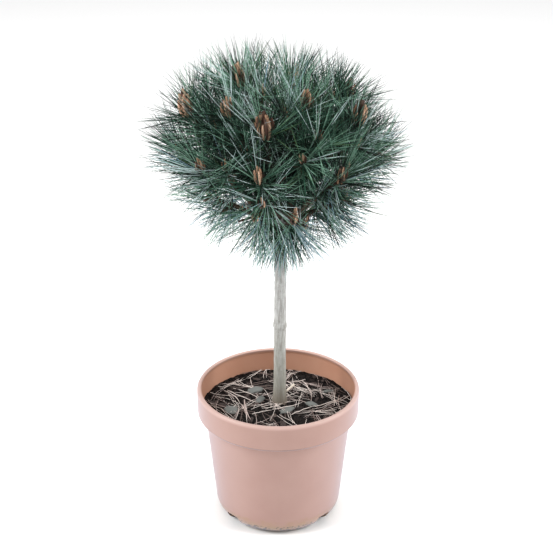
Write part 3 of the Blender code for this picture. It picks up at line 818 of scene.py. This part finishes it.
def spray_tree(tones):
    """Lines swept into tapering strands, closed at both ends; the tone of a strand picks its material."""
    sockets = {"Thickness": "NodeSocketFloat", "Sides": "NodeSocketInt"}
    sockets.update({f"Material {i}": "NodeSocketMaterial" for i in range(tones)})
    tree, given, out = growth_tree("strands", sockets)
    lines = node(tree, "GeometryNodeMeshToCurve", {"Mesh": given.outputs["Geometry"]})
    inputs = {"Resolution": given.outputs["Sides"], "Radius": given.outputs["Thickness"]}
    ring = node(tree, "GeometryNodeCurvePrimitiveCircle", inputs)
    taper = node(tree, "GeometryNodeInputNamedAttribute", {"Name": "taper"}, data_type="FLOAT")
    inputs = {
        "Curve": lines.outputs[0],
        "Profile Curve": ring.outputs["Curve"],
        "Scale": taper.outputs[0],
        "Fill Caps": True,
    }
    swept = node(tree, "GeometryNodeCurveToMesh", inputs)
    real = node(tree, "GeometryNodeRealizeInstances", {"Geometry": swept.outputs[0]})
    tone = node(tree, "GeometryNodeInputNamedAttribute", {"Name": "tone"}, data_type="INT").outputs[0]
    flow = real.outputs[0]
    for index in range(tones):
        chosen = node(tree, "FunctionNodeCompare", {2: tone, 3: index}, data_type="INT", operation="EQUAL")
        material = given.outputs[f"Material {index}"]
        inputs = {"Geometry": flow, "Selection": chosen.outputs[0], "Material": material}
        flow = node(tree, "GeometryNodeSetMaterial", inputs).outputs[0]
    tree.links.new(flow, out.inputs[0])
    return tree


def strand_mesh(strands, tree, thickness, sides, materials):
    """Strands, each a (path, taper, tone), swept by the tree into one mesh."""
    inputs = {"Thickness": thickness, "Sides": sides}
    inputs.update({f"Material {i}": material for i, material in enumerate(materials)})
    return settled(lines_mesh(strands), tree, inputs)


# ---------------------------------------------------------------- stem, boughs and the source's rule


def stem_point(height):
    share = (height - STEM_FOOT.z) / (STEM_TOP_HEIGHT - STEM_FOOT.z)
    place = STEM_FOOT + STEM_LEAN * share
    return Vector((place.x, place.y, height))


def stem_radius(height):
    share = (height - STEM_FOOT.z) / (STEM_TOP_HEIGHT - STEM_FOOT.z)
    plain = STEM_RADIUS + (STEM_TOP_RADIUS - STEM_RADIUS) * share
    flare = ROOT_FLARE * math.exp(-(height - STEM_FOOT.z) / (ROOT_FLARE_HEIGHT / 2))
    ring = NODE_SWELL * bump(height - NODE_HEIGHT, NODE_SPREAD)
    head = HEAD_SWELL * bump(height - HEAD_HEIGHT, HEAD_SPREAD)
    return plain + flare + ring + head


def tuft_tip(tuft):
    angle = math.radians(tuft.azimuth)
    return Vector((tuft.reach * math.cos(angle), tuft.reach * math.sin(angle), tuft.height))


def bough_line(tuft, count=BOUGH_POINTS):
    """(points of the bough, its direction at the tip): it leaves the head flatter and bows up."""
    root = stem_point(tuft.leaves_at + STAGGER * (TUFTS.index(tuft) % 2))
    tip = tuft_tip(tuft)
    outward = Vector((tip.x - root.x, tip.y - root.y, 0))
    end = root + (outward + Vector((0, 0, tip.z - root.z))) * BOUGH_SHARE
    rise = math.atan2(tip.z - root.z, outward.length) * BOUGH_FLATTER
    leaving = outward.normalized() * math.cos(rise) + Vector((0, 0, math.sin(rise)))
    bow = root + leaving * (end - root).length * 0.5
    shares = [i / (count - 1) for i in range(count)]
    points = [root * (1 - t) ** 2 + bow * 2 * t * (1 - t) + end * t**2 for t in shares]
    return points, (points[-1] - points[-2]).normalized()


Twig = namedtuple("Twig", "start end radius end_radius")


def twigs_of(tuft):
    """The stem that carries on from the bough and the main shoot at its end."""
    points, along = bough_line(tuft)
    tip = tuft_tip(tuft)
    start = points[-1] + along * CLEARANCE
    fork = start + along * (tip - start).length * STEM_SHARE
    stem = Twig(start, fork + along * STEM_SUNK, BOUGH_TIP_RADIUS, BOUGH_TIP_RADIUS)
    return stem, Twig(fork, tip, CORE_RADIUS, CORE_RADIUS)


def side_shoot_of(
    main, space, draw, share=SIDE_SHOOT_SHARE, turn_off=SIDE_SHOOT_TURN, thick=SIDE_CORE_RADIUS
):
    """A shorter shoot that turns away from the main one, or None where there is no room for it."""
    heading = (main.end - main.start).normalized()
    branch = main.start + heading * CORE_RADIUS
    reach = (main.end - main.start).length * share
    angle = math.radians(turn_off)
    for _ in range(SIDE_SHOOT_TRIES):
        turn = Matrix.Rotation(2 * math.pi * draw.random(), 3, heading)
        sideways = turn @ heading.orthogonal().normalized()
        end = branch + (heading * math.cos(angle) + sideways * math.sin(angle)) * reach
        if space.holds(branch, end, thick):
            return Twig(branch, end, thick, thick)
    return None


def segments_gap(a0, a1, b0, b1):
    """The least distance between two straight runs."""
    a, b, r = a1 - a0, b1 - b0, a0 - b0
    aa, bb, ab = a.dot(a), b.dot(b), a.dot(b)
    ar, br = a.dot(r), b.dot(r)
    spread = aa * bb - ab * ab
    s = min(1.0, max(0.0, (ab * br - bb * ar) / spread)) if spread > 1e-12 else 0.0
    t = min(1.0, max(0.0, (ab * s + br) / bb))
    s = min(1.0, max(0.0, (ab * t - ar) / aa))
    return (a0 + a * s - b0 - b * t).length


class Space:
    """The room that a tuft keeps to: a cone from the head round its own tip, clear of all limbs."""

    def __init__(self, own, tips, limbs):
        centre = stem_point(HEAD_HEIGHT)
        facing = (own - centre).normalized()
        others = [(tip - centre).normalized() for tip in tips if tip != own]
        self.planes = [((other - facing).normalized(), centre) for other in others]
        self.limbs = limbs

    def holds(self, start, end, radius):
        margin = radius + NEEDLE_GAP / 2
        for normal, middle in self.planes:
            if (start - middle).dot(normal) > -margin or (end - middle).dot(normal) > -margin:
                return False
        for limb in self.limbs:
            gap = segments_gap(start, end, limb.start, limb.end)
            if gap < max(limb.radius, limb.end_radius) + margin:
                return False
        return True


def frame_along(start, end):
    """A matrix that puts a piece made along +Z from the origin at start, pointing to end."""
    turn = (end - start).to_track_quat("Z", "Y").to_matrix().to_4x4()
    return Matrix.Translation(start) @ turn


def needle_aim(index, share, attempt, draw):
    """The needle as a vector beside a shoot along +Z: later tries stay closer to the shoot."""
    given_up = attempt / NEEDLE_TRIES
    face = FACES_ON * index + attempt + 0.5 + between(-0.14, 0.14, draw)
    azimuth = 2 * math.pi * face / CORE_SIDES
    open_to = NEEDLE_OPEN_AT_FOOT + (NEEDLE_OPEN_AT_TIP - NEEDLE_OPEN_AT_FOOT) * share
    opening = math.radians(open_to * (1 - NEEDLE_CLOSING * given_up) + between(-8, 8, draw))
    size = NEEDLE_LENGTH * between(0.88, 1.08, draw) * (1 - NEEDLE_SHORTENING * given_up)
    outward = Vector((math.cos(azimuth), math.sin(azimuth), 0))
    return (outward * math.sin(opening) + Vector((0, 0, math.cos(opening)))) * size


def inside_outline(place, play):
    """Whether the outline times play holds a point: between two rows it runs straight."""
    if abs(place.y) > CROWN_DEPTH:
        return False
    for (low, narrow, left), (high, wide, right) in zip(CROWN_OUTLINE, CROWN_OUTLINE[1:]):
        if low <= place.z <= high:
            share = (place.z - low) / (high - low)
            middle = Vector((left + (right - left) * share, 0.0))
            return (place.xy - middle).length <= (narrow + (wide - narrow) * share) * play
    return False


def kept_inside(root, tip, play):
    """The needle's tip, drawn back to where the outline times play holds it. A stump gives None."""
    shares = (share for share in NEEDLE_CUTS if inside_outline(root.lerp(tip, share), play))
    share = next(shares, None)
    return root.lerp(tip, share) if share else None


def outside_core(root, tip):
    return root + (tip - root).normalized() * CORE_RADIUS, tip


def crosses(root, tip, placed):
    bare = outside_core(root, tip)
    return any(segments_gap(*bare, *outside_core(*other)) < NEEDLE_APART for other in placed)


def add_sprays(twig, space, placed, draw):
    """Adds (root, tip) of each spray on a shoot: a spiral that opens wide at the shoot's foot."""
    place = frame_along(twig.start, twig.end)
    length = (twig.end - twig.start).length
    count = int(length / NEEDLE_PITCH)
    for index in range(count):
        share = (index + 0.5) / count
        height = Vector((0, 0, length * (NEEDLE_FIRST + (NEEDLE_LAST - NEEDLE_FIRST) * share)))
        root = place @ height
        for attempt in range(NEEDLE_TRIES):
            full = place @ (height + needle_aim(index, share, attempt, draw))
            tip = kept_inside(root, full, between(*OUTLINE_PLAY, draw))
            if tip and not crosses(root, tip, placed) and space.holds(root, tip, NEEDLE_RADIUS):
                placed.append((root, tip))
                break


# ---------------------------------------------------------------- bark pieces


def tube_rings(path, radius_at, sides, rough, seed, scale=260.0):
    """Rings of points round a path, with the radius at each share of it and bark relief in metres."""
    rings = []
    side = (path[1] - path[0]).orthogonal().normalized()
    for index, centre in enumerate(path):
        before, after = path[max(0, index - 1)], path[min(len(path) - 1, index + 1)]
        along = (after - before).normalized()
        side = (side - along * side.dot(along)).normalized()
        other = along.cross(side)
        radius = radius_at(index / (len(path) - 1))
        ring = []
        for a in turns(sides):
            out = side * math.cos(a) + other * math.sin(a)
            where = (centre + out * radius) * scale
            where.z *= 0.35
            ring.append(centre + out * (radius + rough * noise.noise(where + Vector((seed, 0, 0)))))
        rings.append(ring)
    return rings


def make_stem(material):
    """The stem with its node ring, its swollen head and the flare at its foot."""
    foot, top = STEM_FOOT.z - 0.004, STEM_TOP_HEIGHT
    path = [stem_point(foot + (top - foot) * i / STEM_RINGS) for i in range(STEM_RINGS + 1)]

    def radius_at(share):
        height = foot + (top - foot) * share
        radius = stem_radius(max(height, STEM_FOOT.z))
        radius += sum(size * MM * bump(height - middle, spread) for size, middle, spread in STEM_SCARS)
        return radius * (1 - 0.14 * smooth((height - top + 0.012) / 0.012))

    mesh = skin(tube_rings(path, radius_at, sides=44, rough=0.42 * MM, seed=1.7))
    piece("stem_bark", mesh, [material], ["stem"])


def make_boughs(material):
    meshes = []
    step = BOUGH_ROOT_RADIUS - BOUGH_TIP_RADIUS
    for index, tuft in enumerate(TUFTS):
        path, _ = bough_line(tuft, 26)

        def radius_at(share):
            scars = 0.25 * MM * math.sin(share * 70 + index) ** 8
            return BOUGH_ROOT_RADIUS - step * share + scars + 1.2 * MM * (1 - share) ** 6

        meshes.append(skin(tube_rings(path, radius_at, sides=14, rough=0.35 * MM, seed=index, scale=420.0)))
    names = ["bough_" + tuft.name for tuft in TUFTS]
    piece("bough_bark", joined(meshes, "boughs"), [material], names)


def make_twigs(shoots, material):
    """Each shoot as a scaly twig, from its parent's wood to its tip."""
    meshes = []
    for index, (start, end, thick, thin) in enumerate(shoots):
        path = [start.lerp(end, i / 14) for i in range(15)]

        def radius_at(share):
            return thick + (thin - thick) * share + 0.18 * MM * math.sin(share * 60 + index) ** 4

        meshes.append(skin(tube_rings(path, radius_at, sides=9, rough=0.25 * MM, seed=index, scale=600.0)))
    piece("twigs", joined(meshes, "twigs"), [material], TUFT_NODES)


# ---------------------------------------------------------------- needles


def turned_a_little(heading, degrees, draw):
    """The heading turned by up to so many degrees, evenly in all directions."""
    side = Matrix.Rotation(2 * math.pi * draw.random(), 3, heading) @ heading.orthogonal().normalized()
    angle = math.radians(degrees) * math.sqrt(draw.random())
    return (heading * math.cos(angle) + side * math.sin(angle)).normalized()


def lowered(foot, reach, shoot, play):
    """The foot, moved down its shoot until a needle of this reach keeps inside the outline times play."""
    run = shoot.end - shoot.start
    room = (foot - shoot.start).dot(run.normalized())
    while room > ROOT_STEP and not inside_outline(foot + reach, play):
        foot = foot - run.normalized() * ROOT_STEP
        room -= ROOT_STEP
    return foot


def add_pair(foot, heading, length, shoot, fringe, tone, lines, draw):
    """Two real needles from one sheath, low enough on the shoot to end in the crown's loose fringe."""
    along = (shoot.end - shoot.start).normalized()
    side = heading.cross(along)
    side = (side if side.length > 0.01 else heading.orthogonal()).normalized()
    across = Matrix.Rotation(math.pi * draw.random(), 3, heading) @ side
    play = between(*(STRAY_PLAY if draw.random() < STRAY_CHANCE else fringe), draw)
    foot = lowered(foot, heading * length, shoot, play)
    for hand in (-1, 1):
        angle = math.radians(PAIR_SPREAD * between(0.4, 1.6, draw)) * hand
        aim = (heading * math.cos(angle) + across * math.sin(angle)).normalized()
        tip = kept_inside(foot, foot + aim * length * between(0.93, 1.0, draw), play)
        if tip:
            curl = along * between(0.2, 1.0, draw) + side * between(-0.9, 0.9, draw)
            bend = curl * NEEDLE_BEND + across * hand * between(0.0, 0.035, draw)
            lines.append((needle_path(foot, aim, (tip - foot).length, bend), NEEDLE_TAPER, tone))


def tone_of(draw, chances):
    """The number of a tone, picked by how often each one comes."""
    pick = draw.random() * sum(chances)
    for index, chance in enumerate(chances):
        pick -= chance
        if pick <= 0:
            return index
    return len(chances) - 1


def add_pairs(root, tip, shoot, count, spread, ring, lines, draw):
    """A spray, unless it is thinned out: pairs of needles round its line, from a stretch of the shoot."""
    axis = (tip - root).normalized()
    along = (shoot.end - shoot.start).normalized()
    kind = ring + ("_hanging" if axis.z < HANGING_SLOPE else "_rising")
    if draw.random() < THINNED.get(kind, 0.0):
        return
    chances = TONE_CHANCES.get(kind, TONE_CHANCES[ring])
    for _ in range(count):
        foot = root + along * between(-ROOT_PLAY, ROOT_PLAY, draw)
        heading = turned_a_little(axis, spread, draw)
        length = NEEDLE_LENGTH * between(*PAIR_LENGTHS, draw)
        add_pair(foot, heading, length, shoot, FRINGE_PLAY[ring], tone_of(draw, chances), lines, draw)


def around(shoot, share, turn, opening):
    """(a spot on a shoot at a share of its length, a heading that opens from it by this many degrees)."""
    place = frame_along(shoot.start, shoot.end)
    angle = math.radians(opening)
    out = Vector((math.cos(turn) * math.sin(angle), math.sin(turn) * math.sin(angle), math.cos(angle)))
    return shoot.start.lerp(shoot.end, share), place.to_3x3() @ out


def add_brush(shoot, share, index, opening, ring, lines, draw):
    """One spray of a twig or of a shoot's tip, the next one round it."""
    foot, heading = around(shoot, share, GOLDEN_TURN * index, opening)
    add_pairs(foot, foot + heading * NEEDLE_LENGTH, shoot, FASCICLES, BRUSH_SPREAD, ring, lines, draw)


def grow_tuft(tuft, main, side, sprays, space, loose, shoots):
    """The needles of one tuft: the source's sprays, finer twigs and a brush at each tip."""
    ring = tuft.name.split("_")[0]
    lines = []
    for shoot, root, tip in sprays:
        add_pairs(root, tip, shoot, FASCICLES, SPRAY_SPREAD, ring, lines, loose)
    for _ in range(FINE_TWIGS):
        fine = side_shoot_of(main, space, loose, FINE_TWIG_SHARE, FINE_TWIG_TURN, FINE_TWIG_ROOM)
        if not fine:
            continue
        shoots.append((fine.start, fine.end, *FINE_TWIG))
        for index in range(FINE_SPRAYS):
            opening = between(*FINE_OPENINGS, loose) - FINE_CLOSING * index / FINE_SPRAYS
            add_brush(fine, (index + 0.5) / FINE_SPRAYS, index, opening, ring, lines, loose)
    for shoot in filter(None, (main, side)):
        in_the_open = shoot is main and tuft.candles and ring != "top"
        openings = CLUSTER_OPENINGS if in_the_open else TIP_OPENINGS
        for index in range(TIP_SPRAYS):
            share = between(*TIP_SHARES, loose)
            add_brush(shoot, share, index, between(*openings, loose), ring, lines, loose)
    return lines


def grow_inside(tuft, stem, lines, draw):
    """Old needles along the bough, where the crown is dark and closes in on itself; above the lowest ring
    they take the deep tone as painted shade.
    """
    points, _ = bough_line(tuft)
    last = Twig(points[1], points[-1], BOUGH_TIP_RADIUS, BOUGH_TIP_RADIUS)
    low = tuft.leaves_at == LOW
    pairs = HANGING_PAIRS if low else INNER_PAIRS
    lengths = HANGING_LENGTHS if low else INNER_LENGTHS
    least_height = HANGING_LEAST_HEIGHT if low else INNER_LEAST_HEIGHT
    for limb, count in ((last, pairs), (stem, pairs // 3)):
        for index in range(count):
            opening = between(*OLD_OPENINGS, draw)
            foot, heading = around(limb, (index + 0.5) / count, GOLDEN_TURN * index, opening)
            if low and heading.z > 0.2:
                heading.z *= -1
            length = NEEDLE_LENGTH * between(*lengths, draw)
            if (foot + heading * length).z > least_height:
                # Above the lowest ring the inner needles all take the deep tone: painted shade of the
                # crown's interior.
                tone = tone_of(draw, TONE_CHANCES["low"]) if low else 0
                add_pair(foot, heading, length, limb, FRINGE_PLAY["low"], tone, lines, draw)


def hang_round_stem(tuft, lines, draw):
    """Long old needles that hang down round the stem from one of the lowest boughs."""
    points, _ = bough_line(tuft)
    limb = Twig(points[0], points[-1], BOUGH_TIP_RADIUS, BOUGH_TIP_RADIUS)
    run = limb.end - limb.start
    down = Vector((run.x * 4, run.y * 4, -1)).normalized()
    for _ in range(STEM_PAIRS):
        foot = limb.start.lerp(limb.end, between(0.3, 0.95, draw))
        heading = turned_a_little(down, 18.0, draw)
        length = NEEDLE_LENGTH * between(*STEM_PAIR_LENGTHS, draw)
        tone = tone_of(draw, TONE_CHANCES["low"])
        add_pair(foot, heading, length, limb, FRINGE_PLAY["low"], tone, lines, draw)


def grow_crown():
    """(every shoot, the needle lines of each tuft, the main and the side shoot of each tuft)"""
    draw = random.Random(SEED)
    loose = random.Random(SEED + 1)
    hanging = random.Random(SEED + 4)
    twigs = {tuft.name: twigs_of(tuft) for tuft in TUFTS}
    limbs = [Twig(STEM_FOOT, stem_point(STEM_TOP_HEIGHT), HEAD_RADIUS, HEAD_RADIUS)]
    step = (BOUGH_TIP_RADIUS - BOUGH_ROOT_RADIUS) / (BOUGH_POINTS - 1)
    taper = [BOUGH_ROOT_RADIUS + step * i for i in range(BOUGH_POINTS)]
    for tuft in TUFTS:
        points, _ = bough_line(tuft)
        limbs += [Twig(*run) for run in zip(points, points[1:], taper, taper[1:])]
    tips = [tuft_tip(tuft) for tuft in TUFTS]
    shoots, lines, leaders = [], {}, {}
    for tuft in TUFTS:
        stem, main = twigs[tuft.name]
        others = [other for name, (other, _) in twigs.items() if name != tuft.name]
        space = Space(tuft_tip(tuft), tips, limbs + others)
        side = side_shoot_of(main, space, draw)
        placed, sprays = [], []
        for shoot in filter(None, (main, side)):
            first = len(placed)
            add_sprays(shoot, space, placed, draw)
            sprays += [(shoot, *spray) for spray in placed[first:]]
        shoots.append((stem.start, main.start.lerp(main.end, 0.05), *STUB_TWIG))
        shoots.append((main.start, main.end, *MAIN_TWIG))
        if side:
            shoots.append((side.start, side.end, *SIDE_TWIG))
        lines[tuft.name] = grow_tuft(tuft, main, side, sprays, space, loose, shoots)
        grow_inside(tuft, stem, lines[tuft.name], loose)
        if tuft.leaves_at == LOW:
            hang_round_stem(tuft, lines[tuft.name], hanging)
        leaders[tuft.name] = (main, side)
    return shoots, lines, leaders


def make_needles(lines, tree):
    """Pieces of a few tufts each. The wax bloom on a pine needle gives it its grey and its dull shine; the
    palest and bluest tones also carry painted highlights and painted light from below, and the deepest one
    painted shade.
    """
    tones = [plain(name, 0.45, colour, Specular_IOR_Level=0.2) for name, colour in TONES]
    for ring in FRINGE_PLAY:
        own = [tuft.name for tuft in TUFTS if tuft.name.startswith(ring + "_")]
        half = len(own) // 2
        for part, names in enumerate((own[:half], own[half:]), 1):
            strands = [line for name in names for line in lines[name]]
            mesh = strand_mesh(strands, tree, REAL_NEEDLE_RADIUS, NEEDLE_SIDES, tones)
            piece(f"needles_{ring}_{part}", mesh, None, ["tuft_" + name for name in names])


# ---------------------------------------------------------------- candles


def bud_frame(foot, heading, out, size):
    """A matrix that stands a bud one unit tall on its foot, with its +X turned outwards."""
    side = heading.cross(out).normalized()
    turn = Matrix((side.cross(heading), side, heading)).transposed().to_4x4()
    return Matrix.Translation(foot) @ turn @ Matrix.Diagonal((size, size, size, 1.0))


def bowed(mesh, bow):
    """The bud bent outwards by its middle, so that a cluster of them is round like an egg."""
    for point in mesh.vertices:
        point.co.x += bow * math.sin(math.pi * max(0.0, point.co.z))
    return mesh


def bud_width(share):
    """The half width of a candle, as a share of its length, from its foot to its blunt point."""
    return 0.060 * math.sin(math.pi * min(1.0, share * 0.90 + 0.08)) ** 0.55


def candle_core():
    """The body of a candle, one unit tall."""
    shares = [level / CANDLE_LEVELS for level in range(CANDLE_LEVELS + 1)]
    return skin([circle(max(0.004, bud_width(share) * 0.9), share, CANDLE_SIDES) for share in shares])


def candle_scales(draw):
    """Papery scales on a candle one unit tall: rows of thin tongues whose tips stand off a little."""
    shape = bmesh.new()
    for row in range(SCALE_ROWS):
        share = 0.02 + 0.80 * row / (SCALE_ROWS - 1)
        for i in range(SCALE_COLUMNS):
            a = 2 * math.pi * (i + 0.5 * (row % 2)) / SCALE_COLUMNS + between(-0.15, 0.15, draw)
            out = Vector((math.cos(a), math.sin(a), 0))
            across = Vector((-math.sin(a), math.cos(a), 0))
            length = between(0.17, 0.24, draw)
            width = between(0.026, 0.040, draw)
            middle, end = min(1.0, share + length * 0.55), min(1.0, share + length)
            foot = out * bud_width(share) * 0.92 + Vector((0, 0, share))
            waist = out * (bud_width(middle) + 0.010) + Vector((0, 0, middle))
            flare = between(0.004, 0.028, draw) * (1.1 - share)
            point = out * (bud_width(end) + flare) + Vector((0, 0, end))
            thick = out * 0.008
            places = (
                foot - across * width * 0.6,
                foot + across * width * 0.6,
                waist - across * width,
                waist + across * width,
                waist + thick,
                point,
                waist - thick,
            )
            left, right, waist_left, waist_right, front, tip, back = map(shape.verts.new, places)
            for face in (
                (left, right, front),
                (left, front, waist_left),
                (right, waist_right, front),
                (waist_left, front, tip),
                (front, waist_right, tip),
                (right, left, back),
                (left, waist_left, back),
                (waist_right, right, back),
                (waist_left, tip, back),
                (tip, waist_right, back),
            ):
                shape.faces.new(face)
    bmesh.ops.recalc_face_normals(shape, faces=shape.faces)
    return from_shape(shape, "scales")


def cluster_buds(shoot, sunk, cluster, draw):
    """(foot, heading, outwards, height, bow) of a cluster's candles: shorter ones stand round a tall one."""
    count, size = cluster
    along = (shoot.end - shoot.start).normalized()
    upright = (along * CANDLE_LEAN + Vector((0, 0, 1))).normalized()
    foot = shoot.end - along * sunk
    start = upright.orthogonal().normalized()
    buds = [(foot, upright, start, CANDLE_TALL * size, 0.0)]
    for index in range(count):
        turn = Matrix.Rotation(GOLDEN_TURN * index + between(-0.2, 0.2, draw), 3, upright)
        out = turn @ start
        ring = math.sqrt((index + 0.7) / count)
        heading = (upright + out * between(0.04, 0.18, draw) * ring).normalized()
        spot = foot + out * CLUSTER_RADIUS * size * ring - upright * between(0.0, 4.0, draw) * MM * ring
        tall = CANDLE_TALL * size * (1.02 - 0.22 * ring) * between(0.78, 1.12, draw)
        buds.append((spot, heading, out, tall, CANDLE_BOW * ring))
    return buds


def make_candles(leaders, core_paint, scale_paints):
    draw = random.Random(SEED + 2)
    cores, scales = [], [[] for _ in scale_paints]
    for tuft in TUFTS:
        main, side = leaders[tuft.name]
        cluster = CLUSTERS.get(tuft.name, PLAIN_CLUSTER) if tuft.candles else BARE_CLUSTER
        buds = cluster_buds(main, CANDLE_SUNK, cluster, draw)
        if side:
            buds += cluster_buds(side, SIDE_CLUSTER_SUNK, SIDE_CLUSTER, draw)
        for foot, heading, out, height, bow in buds:
            place = bud_frame(foot, heading, out, height)
            turn = Matrix.Rotation(6.3 * draw.random(), 4, "Z")
            core, tongues = candle_core(), candle_scales(draw)
            tongues.transform(turn)
            for mesh in (core, tongues):
                bowed(mesh, bow).transform(place)
            cores.append(core)
            scales[draw.randrange(len(scale_paints))].append(tongues)
    piece("candle_cores", joined(cores, "cores"), [core_paint], TUFT_NODES)
    for index, (group, material) in enumerate(zip(scales, scale_paints), 1):
        piece(f"candle_scales_{index}", joined(group, "scales"), [material], TUFT_NODES)


# ---------------------------------------------------------------- what lies on the soil


def on_soil(x, y, lift):
    """A point a little over the soil, kept inside the rim."""
    limit = RIM_RADIUS - COLLAR_WALL - 0.003
    shrink = min(1.0, limit / max(1e-6, math.hypot(x, y)))
    return Vector((x * shrink, y * shrink, soil_height(x * shrink, y * shrink) + lift))


def laid_path(x0, y0, x1, y1, bow, lift):
    """A needle laid over the soil from one spot to another, bowed sideways."""
    start, end = Vector((x0, y0)), Vector((x1, y1))
    side = (end - start).orthogonal() * bow * 4
    shares = np.linspace(0, 1, len(FALLEN_TAPER))
    spots = [start.lerp(end, t) + side * t * (1 - t) for t in shares]
    return [on_soil(spot.x, spot.y, lift) for spot in spots]


def fallen_strands(draw):
    """Fallen needles, single or in pairs, half of them drifted a little to the right and back."""
    made = []

    def lay(path, radius, tone):
        made.append((path, [radius * share for share in FALLEN_TAPER], tone))

    for x0, y0, x1, y1, bow, radius, tone in LAID_NEEDLES:
        path = laid_path(x0 * MM, y0 * MM, x1 * MM, y1 * MM, bow, between(2.2, 4.0, draw) * MM)
        lay(path, radius, tone)
    for _ in range(FALLEN_NEEDLES):
        angle, radius = 2 * math.pi * draw.random(), 0.100 * math.sqrt(draw.random())
        drift = 0.018 if draw.random() < 0.5 else 0.0
        x, y = radius * math.cos(angle) + drift, radius * math.sin(angle) + drift / 2
        turn, length = 2 * math.pi * draw.random(), between(26, 70, draw) * MM
        lift, tone = between(0.6, 3.2, draw) * MM, tone_of(draw, FALLEN_TONE_CHANCES)
        for part in range(draw.randrange(1, 3)):
            aim = turn + part * between(0.05, 0.22, draw)
            run = Vector((math.cos(aim), math.sin(aim))) * length / 2
            path = laid_path(x - run.x, y - run.y, x + run.x, y + run.y, between(-0.10, 0.10, draw), lift)
            lay(path, between(0.27, 0.40, draw), tone)
    return made


def make_litter(strands):
    net = soil_top_only()
    strewn = scatter_tree()
    draw = random.Random(SEED + 3)
    crumbs = shape_box("crumbs", [chip_mesh(draw, 0.6) for _ in range(5)])
    chips = shape_box("chips", [chip_mesh(draw, 0.25) for _ in range(6)])
    dark = plain("damp_bark_crumb_dark", 0.92, "#0A0808", Specular_IOR_Level=0.2)
    brown = plain("damp_bark_crumb_brown", 0.92, "#2C2523", Specular_IOR_Level=0.2)
    grey = plain("weathered_bark_flake_grey", 0.85, "#6B6E6B")
    umber = plain("bark_chip_umber", 0.88, "#3A302D")
    # (name, shapes, how many on a square metre, least and most size and lift in mm, tumble, seed, material)
    for name, shapes, density, smallest, largest, lift, tumble, seed, material in (
        ("soil_crumbs_dark", crumbs, 42000.0, 1.5, 4.5, 0.3, 3.1, 3, dark),
        ("soil_crumbs_brown", crumbs, 15000.0, 1.5, 4.0, 0.5, 3.1, 4, brown),
        ("bark_chips_brown", chips, 2200.0, 6.0, 14.0, 0.6, 0.5, 6, umber),
    ):
        inputs = {"Density": density, "Smallest": smallest * MM, "Largest": largest * MM, "Lift": lift * MM}
        inputs.update(Tumble=tumble, Seed=seed, Shapes=shapes, Material=material)
        piece(name, settled(net.copy(), strewn, inputs), None)

    flakes = []
    for x, y, length, turn in LAID_CHIPS:
        flake = chip_mesh(draw, 0.26, 2)
        spot = on_soil(x * MM, y * MM, 1.5 * MM)
        size = Matrix.Diagonal((length * MM, length * MM, length * MM, 1.0))
        flake.transform(Matrix.Translation(spot) @ Matrix.Rotation(math.radians(turn), 4, "Z") @ size)
        flakes.append(flake)
    piece("bark_flakes_grey", joined(flakes, "flakes"), [grey])

    x0, y0, x1, y1 = (value * MM for value in CUT_STICK)
    run = [on_soil(x0, y0, 3.2 * MM).lerp(on_soil(x1, y1, 5.0 * MM), i / 6) for i in range(7)]
    stick = skin(tube_rings(run, lambda share: 1.6 * MM, sides=12, rough=0.2 * MM, seed=3, scale=500.0))
    stick.set_sharp_from_angle(angle=math.radians(50))
    piece("cut_stick", stick, [plain("dry_split_wood", 0.8, "#CFC5B8")])

    fallen = fallen_strands(draw)
    tones = [
        plain("dead_needle_straw", 0.7, "#E8DCD4"),
        plain("dead_needle_pinkish", 0.7, "#C4B2AC"),
        plain("dead_needle_brown", 0.7, "#7D6C66"),
    ]
    piece("fallen_needles", strand_mesh(fallen, strands, 1.0 * MM, 4, tones), None)


# ---------------------------------------------------------------- stage


def make_stage():
    scene = bpy.context.scene
    shape = bmesh.new()
    bmesh.ops.create_grid(shape, x_segments=1, y_segments=1, size=FLOOR_SIZE)
    mesh = from_shape(shape, "floor")
    floor = linked("floor", mesh)
    mesh.materials.append(plain("white_backdrop_paper", 0.9, "#FCFCFC"))

    world = bpy.data.worlds.new("studio")
    world.use_nodes = True
    world.node_tree.nodes["Background"].inputs["Color"].default_value = paint("#FFFFFF")
    world.node_tree.nodes["Background"].inputs["Strength"].default_value = DAYLIGHT
    scene.world = world

    for name, place, size, watts in SOFT_BOXES:
        light = bpy.data.lights.new(name, "AREA")
        light.shape = "SQUARE"
        light.size = size
        light.energy = watts
        lamp = linked(name, light)
        lamp.location = place
        lamp.rotation_euler = (LIT_SPOT - Vector(place)).to_track_quat("-Z", "Y").to_euler()

    lens = bpy.data.cameras.new("camera")
    lens.sensor_width = SENSOR_WIDTH
    lens.lens = FOCAL_LENGTH
    camera = linked("camera", lens)
    camera.location = CAMERA_PLACE
    camera.rotation_euler = (math.radians(CAMERA_TILT), 0.0, 0.0)
    scene.camera = camera
    scene.view_settings.view_transform = "Standard"


# ---------------------------------------------------------------- the whole plant


def main():
    make_stage()
    make_pot(
        pot_material("polypropylene_terracotta_outside", "#A58377", "#9C776B", 0.65),
        # The same plastic as outside; its brighter, more saturated colour is painted light bounced round
        # inside the pot.
        pot_material("polypropylene_terracotta_inside", "#C99A82", "#C08D74", 0.0),
    )
    make_soil(soil_material())
    make_litter(spray_tree(len(FALLEN_TONE_CHANCES)))
    grey_bark = bark_material("young_pine_bark_grey", "#BDBEBD", "#94938F", "#787570", 0.9, "#A2A392")
    twig_bark = bark_material("pine_twig_bark_brown", "#5E4C3C", "#3C2E23", "#2E241C", 1.2)
    make_stem(grey_bark)
    make_boughs(twig_bark)
    shoots, lines, leaders = grow_crown()
    make_twigs(shoots, twig_bark)
    make_needles(lines, spray_tree(len(TONES)))
    make_candles(
        leaders,
        # The cores show between the scales; their near-black brown is painted shade in those crevices.
        plain("candle_resin_brown", 0.60, "#2A1912"),
        [
            plain("candle_scale_russet", 0.62, "#B28A6E"),
            plain("candle_scale_papery", 0.66, "#DCB498"),
            plain("candle_scale_dark", 0.62, "#54382B"),
        ],
    )


main()
